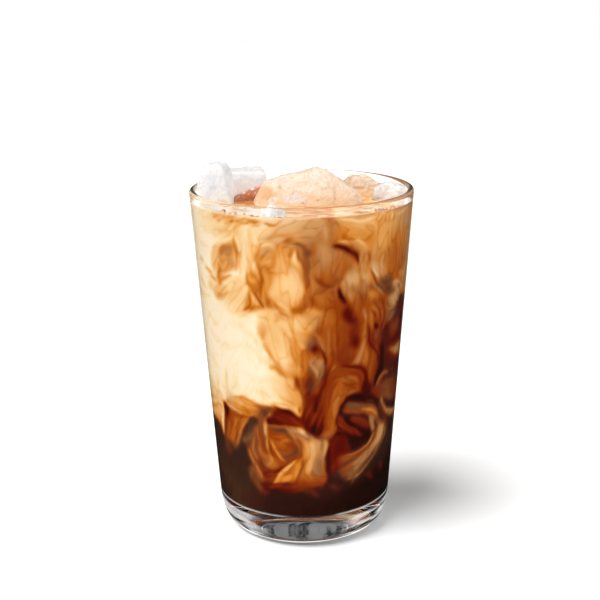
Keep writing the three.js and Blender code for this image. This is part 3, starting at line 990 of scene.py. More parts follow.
    # dark hollow and the strands that hang beside it
    c.mass([(-20.4, 53), (-18.4, 52.8), (-18.8, 50), (-20, 47), (-21.8, 44), (-23.6, 41), (-27.4, 42), (-25.6, 46),
            (-24, 49.3), (-22.2, 51.8)], ["bark", "bark", "mauve", "bark"], toward=-50, soft=1.4, cover=0.9)
    c.sheet([(-20.4, 50), (-21.4, 46), (-22.4, 42), (-22.6, 38), (-20, 34)],
            [(-17.6, 52), (-18.4, 47), (-17.4, 42), (-16, 38), (-14.6, 34)],
            ["brick", "coral", "toffee", "coral", "copper"], soft=1.6, ends=(0.15, 0.2))
    c.ribbon([(-19.6, 46), (-19.6, 43), (-20, 40), (-19.4, 37)], [0.3, 0.8, 0.8, 0.3], ["toffee", "brick"], soft=1.4,
             cover=0.8)
    c.sheet([(-17.4, 56), (-17.6, 51), (-17, 46.6), (-15.8, 42)], [(-12.6, 58), (-15.4, 52), (-15.6, 47), (-14.8, 42)],
            ["brick", "toffee", "olive", "caramel"], soft=1, ends=(0.1, 0.25))
    c.mass([(-16.4, 57.2), (-13.6, 58), (-11.6, 58), (-13.4, 55.6), (-15.2, 54.6)], ["bark", "olive"], soft=1.2,
           cover=0.9)
    c.ribbon([(-17.8, 51), (-18, 47), (-16.8, 43.6), (-15.8, 41)], [0.2, 0.4, 0.45, 0.2], ["brick", "rust"], soft=0.9)
    c.ribbon([(-14.1, 45.6), (-13.6, 42.4), (-14, 40)], [0.3, 0.45, 0.2], ["garnet", "rust"], soft=0.9)
    c.ribbon([(-10.6, 58.2), (-12.6, 56), (-14.5, 52.8), (-15.2, 49.4), (-15.1, 46), (-15, 43), (-14.6, 40),
              (-13.6, 37.6)], [0.4, 0.75, 0.85, 0.75, 0.55, 0.45, 0.4, 0.2],
             ["honey", "apricot", "rose", "coral"], soft=1, ends=(0.06, 0.2))
    c.ribbon([(-15.9, 52), (-16, 48.6), (-15.6, 45.6)], [0.15, 0.3, 0.15], ["peach"], soft=0.8, cover=0.7)
    # dark red hollow under the milk's right end
    c.mass([(-13.2, 55), (-11, 57.6), (-8, 58), (-4.4, 57.4), (-2, 55), (0.4, 51.6), (-3, 50.8), (-8, 51), (-13.8, 50.8)],
           ["garnet", "ember", "garnet", "garnet"], toward=60, soft=1.5, flow=160)
    c.ribbon([(-10.6, 57.4), (-7.6, 57.2), (-4.6, 56.4), (-2.4, 54.2)], [0.3, 0.8, 0.8, 0.3], ["maroon"], soft=1.3)
    c.ribbon([(-13.8, 54.6), (-13.6, 52.4), (-12, 51.4)], [0.5, 0.8, 0.4], ["maroon"], soft=1.4)
    c.ribbon([(-12, 55), (-9, 54), (-6, 52.4)], [0.3, 0.9, 0.4], ["rust", "garnet"], soft=1.6, cover=0.8)
    c.ribbon([(-4.6, 55.4), (-2.4, 52.8), (0.4, 50.8)], [0.3, 0.6, 0.4], ["rust", "copper"], soft=1.2, cover=0.7)
    # brown fold and the orange body below it
    c.mass([(-14.4, 50), (-11, 51), (-6, 50.8), (-3, 49.6), (-1.4, 46.6), (-1.8, 43), (-4, 39.6), (-7.4, 38),
            (-10.6, 38.6), (-13, 41.6), (-14.2, 45.6)],
           ["toffee", "copper", "sienna", "brick", "olive"], toward=70, soft=1.4, flow=165, streak=0.4)
    c.ribbon([(-14, 50.7), (-10.6, 51.1), (-6.6, 51.1), (-3, 50.4)], [0.2, 0.4, 0.45, 0.3], ["caramel", "copper"],
             soft=0.9)
    c.ribbon([(-12, 48.6), (-8.6, 48.9), (-5, 48), (-2.8, 46)], [0.3, 1, 1.1, 0.4], ["bark", "olive"], soft=1.6,
             cover=0.85)
    c.mass(oval(-9.4, 45.4, 3.6, 2, 10), ["copper", "orange"], toward=20, soft=2.4, cover=0.8)
    c.ribbon([(-10, 44), (-7.6, 45.4), (-6, 46.8)], [0.3, 0.6, 0.2], ["caramel", "orange"], soft=1.2)
    c.ribbon([(-1.6, 44), (-3, 41), (-6, 38.6), (-9, 37.6)], [0.3, 0.9, 0.9, 0.3], ["olive", "bark"], soft=1.6,
             cover=0.9)
    c.ribbon([(-13.4, 45.6), (-12.4, 42), (-10.9, 39.4), (-9, 37.4), (-6.6, 36)], [0.2, 0.55, 0.6, 0.5, 0.2],
             ["orange", "apricot", "orange"], soft=1)
    # below: the red orange ribbon and its patch
    c.sheet([(-24.8, 41), (-24, 37), (-22.4, 34.4), (-20.6, 31.4), (-18.8, 28.6), (-17, 26)],
            [(-22, 42), (-21.6, 38), (-20, 35.4), (-18, 32.6), (-16, 30), (-14.4, 27)],
            ["brick", "coral", "coral", "rust"], soft=1.5, ends=(0.2, 0.15))
    c.ribbon([(-23.4, 40), (-22.4, 36.4), (-20.4, 33.6), (-18.4, 31)], [0.3, 0.6, 0.6, 0.2], ["coral", "caramel"],
             soft=1.2)
    c.mass([(-24.4, 31), (-22, 32.4), (-18.8, 29.6), (-17.6, 26), (-18.8, 23.4), (-22, 24), (-24.4, 26.6)],
           ["bark", "brick", "brick", "coral"], toward=40, soft=2.4, cover=0.9, flow=70)
    c.mass([(-20.6, 24.6), (-17.4, 25), (-15.4, 23.4), (-17, 21.4), (-20, 22.4)], ["rust", "brick"], soft=2.6,
           cover=0.7)
    # tan sheet over the notch
    c.mass([(-17.4, 38), (-14, 38.6), (-10.4, 37.6), (-7.4, 35.6), (-10, 33.6), (-13.6, 32.6), (-16.4, 32)],
           ["toffee", "caramel", "copper", "caramel"], toward=20, soft=1.4, flow=-40, streak=0.4)
    c.ribbon([(-14.6, 39.4), (-13.6, 37.4), (-13.9, 35.6), (-15.4, 33.6)], [0.2, 0.6, 0.6, 0.2], ["apricot", "coral"],
             soft=1)
    c.ribbon([(-17.2, 37.6), (-17.2, 35), (-15.6, 32.6), (-13, 32)], [0.2, 0.5, 0.5, 0.2], ["toffee", "bark"],
             soft=0.9)
    # dark notch and the bright fold that comes out of it
    c.mass([(-6.4, 35.1), (-8.4, 34.5), (-10.6, 33.2), (-13, 32.4), (-17, 31), (-16.6, 28), (-14, 27), (-11, 28),
            (-9, 31)], ["garnet", "rust", "ember", "garnet"], toward=20, soft=1.2, flow=35)
    for path in ([(-16, 29.6), (-13, 30.4), (-10, 31.9)], [(-16.6, 27.4), (-14, 28.4), (-12, 29.8)]):
        c.ribbon(path, [0.2, 0.5, 0.3], ["copper", "rust"], soft=0.9, cover=0.85)
    c.mass([(-18.6, 26.6), (-14, 26.4), (-9, 27.4), (-3, 28.4), (-2, 24.6), (-8, 23.6), (-14, 23.4), (-17.6, 24)],
           ["maroon", "garnet", "rust"], toward=80, soft=2.4, flow=5, cover=0.9)
    c.ribbon([(-15.6, 25.4), (-12.4, 25.9), (-9, 26.8)], [0.3, 0.7, 0.3], ["rust", "copper"], soft=1.4, cover=0.8)
    c.sheet([(-13.8, 26.9), (-12.3, 28.6), (-10.6, 31), (-8.5, 33.2), (-6.8, 34.6), (-4.8, 36.4), (-2.4, 38.8),
             (0, 41)],
            [(-14, 26.6), (-11, 27.3), (-8, 27.9), (-6, 28.2), (-4, 28.8), (-2.6, 31), (-1.6, 33.6), (0.4, 36.4)],
            ["honey", "amber", "flame", "flame", "flame", "orange"], soft=0.9, ends=(0.05, 0.25), streak=0.3)
    c.ribbon([(-13.8, 26.9), (-12.2, 28.6), (-10.4, 30.9), (-8.4, 33), (-6.6, 34.4), (-4.6, 35.6)],
             [0.15, 0.35, 0.45, 0.4, 0.3, 0.1], ["honey", "apricot"], soft=0.9, cover=0.85)
    c.ribbon([(-8.6, 30.4), (-6, 32.4), (-3.6, 35)], [0.3, 0.7, 0.3], ["copper", "orange"], soft=1.6, cover=0.7)
    c.mass([(-6, 28.6), (-3, 30), (1, 30.4), (1.4, 25.6), (-3, 25)], ["rust", "copper"], toward=80, soft=2.4, cover=0.7)
    # inside of the milk's tip on the left
    c.ribbon([(-39.2, 40.6), (-39, 45), (-38.2, 50), (-37.6, 56)], [0.3, 0.9, 1.3, 1.2], ["apricot", "butter", "cream"],
             soft=1.8, ends=(0.08, 0.3), cover=0.8)
    # bright orange edge of the milk's right end
    c.ribbon([(-14, 59), (-9, 59.2), (-5, 58.4), (-3, 56.6), (-1.5, 55.4), (-0.8, 57.6), (-0.7, 60)],
             [0.2, 0.6, 0.9, 0.8, 0.6, 0.4, 0.2], ["amber", "honey", "butter"], soft=1.3, cover=0.85)


def midRight(c):
    # broad orange brown field
    c.mass([(-3, 96), (8, 98), (20, 97), (34, 98), (40, 92), (34, 80), (31, 70), (30, 60), (20, 60), (8, 58), (0, 60),
            (-3, 70)], ["sienna", "copper", "copper"], toward=85, soft=3, flow=80)
    c.mass([(12, 97), (12, 88), (10, 80), (14, 74.6), (19, 76), (18, 84), (17, 92)], ["rust", "sienna", "copper"],
           toward=90, soft=3, flow=88, cover=0.8)
    c.mass([(1, 96.6), (4, 97), (7.6, 95), (5, 90), (1.6, 88), (-1, 91)], ["tan", "apricot"], soft=2, flow=60)
    c.mass(oval(8.6, 93, 3, 3), ["caramel"], soft=2.6, cover=0.7)
    # dark right side, and the pale cloud above it
    c.mass([(31, 90), (36, 92), (60, 92), (60, 60), (40, 57), (30, 58), (28.4, 64), (31, 72), (30.6, 80)],
           ["umber", "maroon", "umber"], toward=20, soft=3.4, flow=80, cover=0.8)
    c.mass([(30.6, 78), (33.6, 78), (34.4, 70), (33.6, 61), (30, 60), (29.4, 66), (31, 72)], ["night", "maroon"],
           soft=2.2, cover=0.9)
    c.mass(oval(41, 84, 4, 3), ["toffee", "brick"], soft=4, cover=0.8)
    c.mass([(34, 97), (40, 98), (43, 96.4), (41.6, 93), (39, 91), (35, 91.6)], ["tan", "beige", "tan"], toward=0,
           soft=2.4, flow=120)
    c.mass([(33, 92), (40, 92), (43, 90), (40, 87.6), (34, 87)], ["toffee", "mauve", "bark"], toward=0, soft=2.6,
           flow=20, cover=0.9)
    c.mass(oval(44.4, 93.4, 2.4, 1.8, -30), ["bark", "umber"], soft=2)
    c.ribbon([(40.4, 94.4), (41.4, 93), (43.4, 92.4)], [0.2, 0.4, 0.2], ["bark"], soft=0.8)
    c.ribbon([(38, 86), (42, 87.4), (46, 89.6)], [0.4, 1, 0.5], ["bark", "rust"], soft=2, cover=0.8)
    c.ribbon([(34, 96.6), (34.6, 94.4), (36, 93)], [0.2, 0.4, 0.2], ["bark"], soft=0.8, cover=0.7)
    # orange tongue
    c.sheet([(33.6, 76.6), (38, 78), (42, 78), (50, 77.6)], [(34.6, 75.4), (38.6, 73.8), (42, 72), (50, 69)],
            ["garnet", "rust", "copper", "tan", "copper", "rust"], soft=1.6, ends=(0.45, 0), streak=0.3)
    c.mass(oval(46, 74.4, 3, 1.7, -10), ["tan", "beige"], soft=1.8, cover=0.8)
    c.ribbon([(40, 72), (43, 70.8), (48, 69)], [0.2, 0.4, 0.4], ["bark", "toffee"], soft=0.9, cover=0.8)
    # leaf strand
    c.ribbon([(29.9, 59), (30.6, 61.6), (32, 64), (34, 66.2), (36, 67.1), (37.6, 66.9), (39.4, 66.2)],
             [0.3, 0.6, 0.9, 1, 1, 0.8, 0.2], ["tan", "olive", "toffee"], soft=0.9)
    c.ribbon([(38.6, 66.5), (41, 67.2), (44.6, 66.4)], [0.3, 0.35, 0.2], ["bark", "brick"], soft=0.8)
    c.mass([(33, 64), (38, 65), (48, 63.6), (48, 57), (38, 57), (32.6, 59.6)], ["garnet", "bark", "bark"], toward=20,
           soft=2.4, flow=150, cover=0.9)
    for path in ([(34.6, 62.6), (40, 60.4), (46, 58)], [(36, 64.4), (41, 62.4), (47, 61)], [(34, 60), (38, 58)]):
        c.ribbon(path, [0.2, 0.5, 0.2], ["sienna", "copper"], soft=1, cover=0.8)
    # strands and dark ovals in the field
    c.mass(oval(18.9, 86, 2.4, 5.8, -6), ["garnet", "rust", "rust"], soft=2.6, flow=86)
    c.mass(oval(19.8, 82.6, 1.3, 2.4), ["ember"], soft=2, cover=0.9)
    c.mass(oval(16.6, 93, 1.8, 3.6, 30), ["maroon", "ember"], soft=2.2, cover=0.9)
    c.ribbon([(15.6, 90), (16, 86), (17, 82.4)], [0.3, 0.8, 0.4], ["copper", "sienna"], soft=1.2)
    c.mass(oval(15.6, 76.6, 4, 1.8, -6), ["rust", "sienna"], soft=2.4, cover=0.8)
    c.sheet([(22, 96), (22.6, 92), (22.6, 87), (22.2, 83), (21.2, 79.6), (19, 76), (17.6, 74)],
            [(23.4, 95), (24.2, 91), (24.1, 87), (24.6, 83), (25.4, 79.6), (27, 76), (29.4, 71)],
            ["copper", "tan", "caramel", "copper", "sienna"], soft=1.2, ends=(0.04, 0.2), streak=0.4)
    c.ribbon([(21.8, 95), (22.8, 92.6), (23.4, 90.6)], [0.3, 0.5, 0.3], ["tan", "beige"], soft=0.8)
    c.mass([(25, 96), (29.4, 95), (31.6, 91), (31, 87.4), (28, 86.4), (25.6, 89)],
           ["sienna", "copper", "caramel", "copper"], toward=120, soft=1.4, flow=110, streak=0.4)
    for path in ([(24.8, 97), (27.6, 95.4), (29.6, 92.6), (30, 89), (29.4, 87)],
                 [(28.6, 98), (31, 95.4), (32.2, 91.6), (31.6, 88)],
                 [(25, 93.6), (27.4, 92), (28, 89.6)]):
        c.ribbon(path, [0.15, 0.35, 0.4, 0.15], ["rust", "sienna"], soft=0.8)
    c.ribbon([(25.8, 91.4), (26, 89), (26.8, 87)], [0.2, 0.4, 0.2], ["caramel"], soft=0.8, cover=0.7)
    c.mass(oval(28.5, 87.2, 1.2, 1.5, 20), ["night", "ember"], toward=90, soft=1.2)
    c.ribbon([(30, 86), (31.4, 86.2), (32.6, 87.6)], [0.3, 0.7, 0.3], ["ember"], soft=1)
    c.ribbon([(32.4, 96), (33.4, 92.4), (33.2, 88.6), (31.6, 84)], [0.3, 0.7, 0.7, 0.3], ["copper", "toffee"],
             soft=1.1)
    c.mass([(25.6, 85.6), (29.6, 85), (30.4, 81.6), (29, 78.6), (26.8, 80)], ["garnet", "toffee"], toward=30,
           soft=1.4)
    c.ribbon([(27.4, 85), (28.8, 83), (30, 81.4)], [0.3, 0.6, 0.3], ["olive", "toffee"], soft=0.9)
    c.sheet([(26, 79), (25.6, 75), (25, 71), (26, 66)], [(29, 79.6), (30.4, 75), (30.4, 70), (29.4, 64)],
            ["sienna", "copper", "sienna", "rust"], soft=1.4, ends=(0.15, 0.25))
    c.ribbon([(24, 90), (24.8, 87.4), (25, 84.4), (25.4, 81.8), (26.6, 79.6), (28.3, 77.6), (30, 74.6), (30.8, 70)],
             [0.2, 0.4, 0.4, 0.45, 0.5, 0.45, 0.4, 0.2], ["maroon", "ember"], soft=0.8)
    for path, paint in (([(8.4, 90), (8.9, 86), (9, 82), (8.6, 78)], "tan"),
                        ([(11, 88), (11.6, 83), (11.4, 78)], "caramel"),
                        ([(13.6, 88), (14, 84), (13.4, 80)], "copper"),
                        ([(9.8, 81), (10.4, 77.6), (10, 74)], "rust")):
        c.ribbon(path, [0.15, 0.4, 0.4, 0.15], [paint], soft=0.9, cover=0.75)
    # leaf beside the milk
    c.mass([(-2.8, 81), (1.5, 84), (4, 81), (3, 78.5), (1.5, 76), (0.2, 72), (0.4, 66), (1.6, 61), (-0.6, 60.5),
            (-1.6, 65), (-2.6, 70), (-3.4, 75)], ["copper", "copper", "amber"], toward=110, soft=1.4, flow=80)
    c.mass([(0.2, 86.4), (3, 85.8), (5.6, 82.4), (5.2, 79.8), (2.6, 80.4), (0.6, 82.6)],
           ["garnet", "brick", "mauve"], toward=140, soft=1.4)
    c.mass(oval(4, 81.6, 1.2, 1.4, 20), ["ember"], soft=1.2, cover=0.9)
    c.mass([(2.6, 78.6), (5, 77.6), (7, 75.6), (8.2, 72.4), (7.6, 70), (6, 68), (4, 66), (2, 63.6), (1, 61.5),
            (0.3, 66), (0.1, 71), (0.8, 74.6), (1.7, 77)],
           ["copper", "rust", "sienna", "olive", "tan"], toward=60, soft=0.9, flow=65, streak=0.4)
    c.mass(oval(5.4, 74.4, 1.6, 3.2, -14), ["olive", "beige"], toward=120, soft=1.8, cover=0.9)
    c.ribbon([(7.2, 77), (8, 74.4), (7.8, 71.6), (6.6, 69)], [0.2, 0.5, 0.5, 0.2], ["toffee", "bark"], soft=0.9)
    c.ribbon([(1.8, 78), (2.4, 76), (3.6, 74), (4.8, 72.4), (5.2, 70.4)], [0.2, 0.5, 0.55, 0.4, 0.15],
             ["honey", "beige", "tan"], soft=0.8)
    c.ribbon([(1, 76), (0.6, 73.4), (0.8, 70.6), (0.4, 67.6)], [0.2, 0.4, 0.4, 0.2], ["orange", "caramel"], soft=0.8)
    c.mass(oval(2.3, 68.4, 1.2, 2.8, -10), ["rust", "bark"], toward=-90, soft=1.3)
    c.ribbon([(1.2, 65.6), (2, 62.6), (2.8, 59.6), (2.6, 56.6)], [0.3, 0.6, 0.6, 0.2], ["night", "maroon"], soft=0.9)
    c.ribbon([(0.4, 64), (0.9, 60.6), (1.2, 57)], [0.2, 0.5, 0.3], ["copper", "rust"], soft=0.8)
    c.ribbon([(5.6, 82.2), (6.6, 80.2), (7.6, 77.6), (8.2, 75.2)], [0.2, 0.35, 0.35, 0.15], ["maroon"], soft=0.7)
    for path, paint in (([(0.8, 90.4), (3.2, 87.2), (5.2, 84.4), (6.8, 81.6), (8, 78.6)], ("beige", "tan")),
                        ([(2.6, 89.6), (5.4, 85.6), (7.4, 82.4), (8.8, 78.8)], ("tan", "copper")),
                        ([(2.2, 88), (4.6, 84.8), (6.2, 82)], ("copper", "toffee"))):
        c.ribbon(path, [0.15, 0.4, 0.4, 0.15], paint, soft=0.7)


def archedRibbon(c):
    # it rises from the curl, bends over and falls back
    c.mass([(9.6, 74.4), (9, 70), (7.6, 66), (5.8, 61), (4.6, 57), (3.2, 58), (4.4, 63), (6.4, 68), (8.2, 72)],
           ["garnet", "ember", "maroon"], toward=-90, soft=1.4, flow=68)
    c.ribbon([(12.6, 74), (16, 73.5), (20, 73), (23, 71.2), (25.2, 68), (26, 64.6), (26.6, 61)],
             [0.2, 0.5, 0.7, 0.9, 0.9, 0.9, 0.5], ["maroon", "ember", "garnet"], soft=1)
    c.mass([(24, 68), (26.6, 67), (28.4, 63), (27.4, 59), (24.6, 60), (23.4, 63.4)], ["maroon", "ember"], toward=90,
           soft=1.8)
    c.sheet([(10.5, 72.4), (11.4, 73.5), (13.4, 73.2), (16.5, 72.8), (19.4, 72), (21.8, 70.4), (23.6, 68.2),
             (24.5, 65.8), (24.7, 63)],
            [(8.8, 66.5), (11, 67.4), (13.5, 66.6), (15.5, 65.8), (17.2, 65.2), (18.8, 64.6), (20, 63.8),
             (21, 63.2), (22.5, 62.6)],
            ["copper", "sienna", "copper", "sienna", "caramel", "copper", "sienna"], soft=0.9, ends=(0.05, 0.25),
            streak=0.4)
    c.mass(oval(11.2, 73.2, 0.8, 0.5, 30), ["caramel", "tan"], soft=0.6)
    c.sheet([(10.2, 71.6), (9.2, 68.6), (8.2, 65.5), (7, 62), (6.6, 59), (7.4, 55), (8, 50), (6.8, 48), (5, 46.7)],
            [(17, 65.4), (16, 63), (16, 61), (15, 59), (14.3, 58), (13.5, 55.5), (13, 52), (13.6, 49.6),
             (12.6, 46.6)],
            ["sienna", "sienna", "copper", "copper", "caramel", "copper", "copper"], soft=1, ends=(0.03, 0.05),
            streak=0.4)
    for path, paint in (([(13, 69.6), (11, 65.6), (9.8, 61), (9.4, 56.6)], "rust"),
                        ([(15.4, 70.6), (13, 67), (11.8, 62.6), (11, 58)], "caramel"),
                        ([(17.6, 71.4), (20.6, 70.2), (22.6, 67.6), (23.2, 64.6)], "rust"),
                        ([(14, 68), (17, 69.4), (19.8, 68.6), (21.4, 66.4)], "tan"),
                        ([(15, 65.4), (13.6, 61.4), (12.8, 57), (12.2, 52.6)], "tan"),
                        ([(16.4, 66.8), (19, 67), (21.2, 65)], "sienna"),
                        ([(11.6, 55), (10.8, 51), (11.6, 48)], "copper")):
        c.ribbon(path, [0.15, 0.45, 0.45, 0.15], [paint], soft=1, cover=0.75)
    c.ribbon([(15.6, 62.4), (17.4, 63.4), (19.8, 63.6), (22, 63.2)], [0.4, 0.9, 0.8, 0.3], ["toffee", "caramel"],
             soft=1.1, cover=0.9)
    c.mass([(16.3, 60.8), (17.4, 61.9), (19.4, 62.5), (22.4, 62.2), (25, 60.4), (26.4, 58), (23, 57.6), (19.4, 58.8)],
           ["maroon", "night", "night"], soft=1)
    c.sheet([(8.2, 50), (7, 48.4), (5, 47)], [(13.2, 50), (12.6, 47), (9.4, 44.8)],
            ["toffee", "caramel", "olive"], soft=1.2, ends=(0.3, 0.25), cover=0.8)


def midLeft(c):
    # honey coloured lobe beside the cream
    c.mass([(-16, 96), (-8, 97), (-1, 95), (2.6, 92), (2, 88), (0.8, 84), (0.6, 78), (0.4, 72), (-2.2, 70.2),
            (-4.4, 71), (-6.6, 72), (-8.4, 73.8), (-9.8, 76.2), (-11.4, 78.8), (-13.6, 81.4), (-15.4, 85),
            (-16.4, 90)], ["amber", "apricot", "honey", "honey", "honey", "butter"], toward=165, soft=2.6, flow=102,
           streak=0.3)
    c.mass(oval(-7.4, 80, 2.8, 4.6, 12), ["butter", "honey"], soft=3.4, cover=0.75)
    c.ribbon([(-3.6, 87), (-3, 82), (-2.2, 77.6), (-2.6, 74)], [0.4, 1.3, 1.4, 0.4], ["apricot", "amber"], soft=2,
             cover=0.85)
    c.ribbon([(0.6, 82), (0, 78), (0, 74), (-0.6, 71)], [0.4, 1, 1.1, 0.4], ["caramel", "orange", "copper"], soft=1.6)
    c.ribbon([(-14.6, 84), (-13.6, 81.4), (-12, 79.4), (-10.5, 77.2), (-9.4, 74.8), (-8, 73), (-6.4, 71.9),
              (-3.6, 70.8)], [0.2, 0.45, 0.45, 0.45, 0.45, 0.5, 0.5, 0.2], ["apricot", "amber"], soft=0.9, cover=0.8)
    c.mass([(-15.4, 77), (-12, 77.6), (-9.8, 74.6), (-7.4, 72.4), (-4, 70.8), (-3, 69.6), (-5, 68.6), (-8.4, 69.8),
            (-12, 72.4)], ["butter", "honey", "amber"], toward=20, soft=2.6, cover=0.9)
    c.ribbon([(-12.4, 75), (-10.2, 73.8), (-8, 72.2), (-5.8, 70.8), (-3.4, 69.8)], [0.3, 0.8, 1, 0.9, 0.3],
             ["amber", "orange", "caramel"], soft=1.5, cover=0.9)
    c.ribbon([(-3.6, 70.4), (-2.3, 69.6), (-1.8, 67.6), (-1.2, 64.8), (-0.6, 61.6), (-0.3, 58.5)],
             [0.2, 0.45, 0.45, 0.45, 0.4, 0.2], ["garnet", "ember"], soft=0.8)
    c.mass([(-13, 70), (-8, 70.6), (-4, 69.4), (-2, 65), (-1, 60), (-4, 59), (-8, 61), (-12, 64)],
           ["butter", "honey", "amber"], toward=0, soft=4, flow=-60)
    c.ribbon([(-3, 68), (-2, 64.6), (-1.2, 61), (-1, 57.6)], [0.4, 0.9, 0.8, 0.3], ["amber", "apricot"], soft=1.6)
    # teardrop and the lines near it
    c.mass([(-15.6, 92.6), (-16.3, 89.4), (-15.8, 87), (-14.6, 85.1), (-13.3, 86.6), (-12.9, 89.4), (-13.6, 92.6)],
           ["amber", "apricot", "honey"], soft=1.6, cover=0.85)
    c.ribbon([(-21.6, 95.2), (-19.8, 96.2), (-17, 96.9), (-14.6, 97), (-12.6, 96.7)], [0.15, 0.4, 0.45, 0.4, 0.2],
             ["copper", "orange"], soft=0.8)
    c.ribbon([(-10.5, 91.6), (-8.6, 92.7), (-6.4, 93.1), (-4.8, 92)], [0.2, 0.4, 0.4, 0.2], ["amber", "apricot"],
             soft=0.8)
    c.mass(oval(-7.2, 96.6, 1.2, 1.6), ["amber", "apricot"], soft=1.4, cover=0.8)
    c.ribbon([(-10.5, 94.2), (-6, 95), (-2.4, 93.6)], [0.3, 0.9, 0.4], ["apricot", "tan"], soft=1.4, cover=0.8)
    c.ribbon([(-8.4, 90), (-6.6, 88.4), (-4.4, 88)], [0.3, 0.7, 0.3], ["apricot"], soft=1.4, cover=0.6)
    # faint shadows in the cream
    for path, wide, paint in (([(-26, 90), (-21, 87), (-17, 83), (-15.6, 78)], 1.4, "honey"),
                              ([(-22, 82), (-18, 78.6), (-15.4, 74)], 1.2, "honey"),
                              ([(-30, 88.6), (-25, 87.6), (-20, 90.4)], 1, "honey"),
                              ([(-45, 84), (-38, 80), (-30, 79), (-22, 81)], 1.8, "peach"),
                              ([(-50, 74), (-42, 69.6), (-36, 68)], 1.6, "peach"),
                              ([(-26, 72), (-20, 69), (-13, 68), (-8, 66)], 1.2, "peach"),
                              ([(-20, 64), (-14, 62.4), (-8, 61)], 1, "honey"),
                              ([(-44, 92), (-40, 88), (-34, 86)], 1.4, "honey"),
                              ([(-33, 70), (-33.2, 65), (-33.6, 60)], 1, "rose"),
                              ([(-28.6, 70), (-29, 65), (-30, 60)], 1.4, "peach")):
        c.ribbon(path, [0.3, wide, wide, 0.3], [paint, "cream"], soft=2.4, cover=0.55)


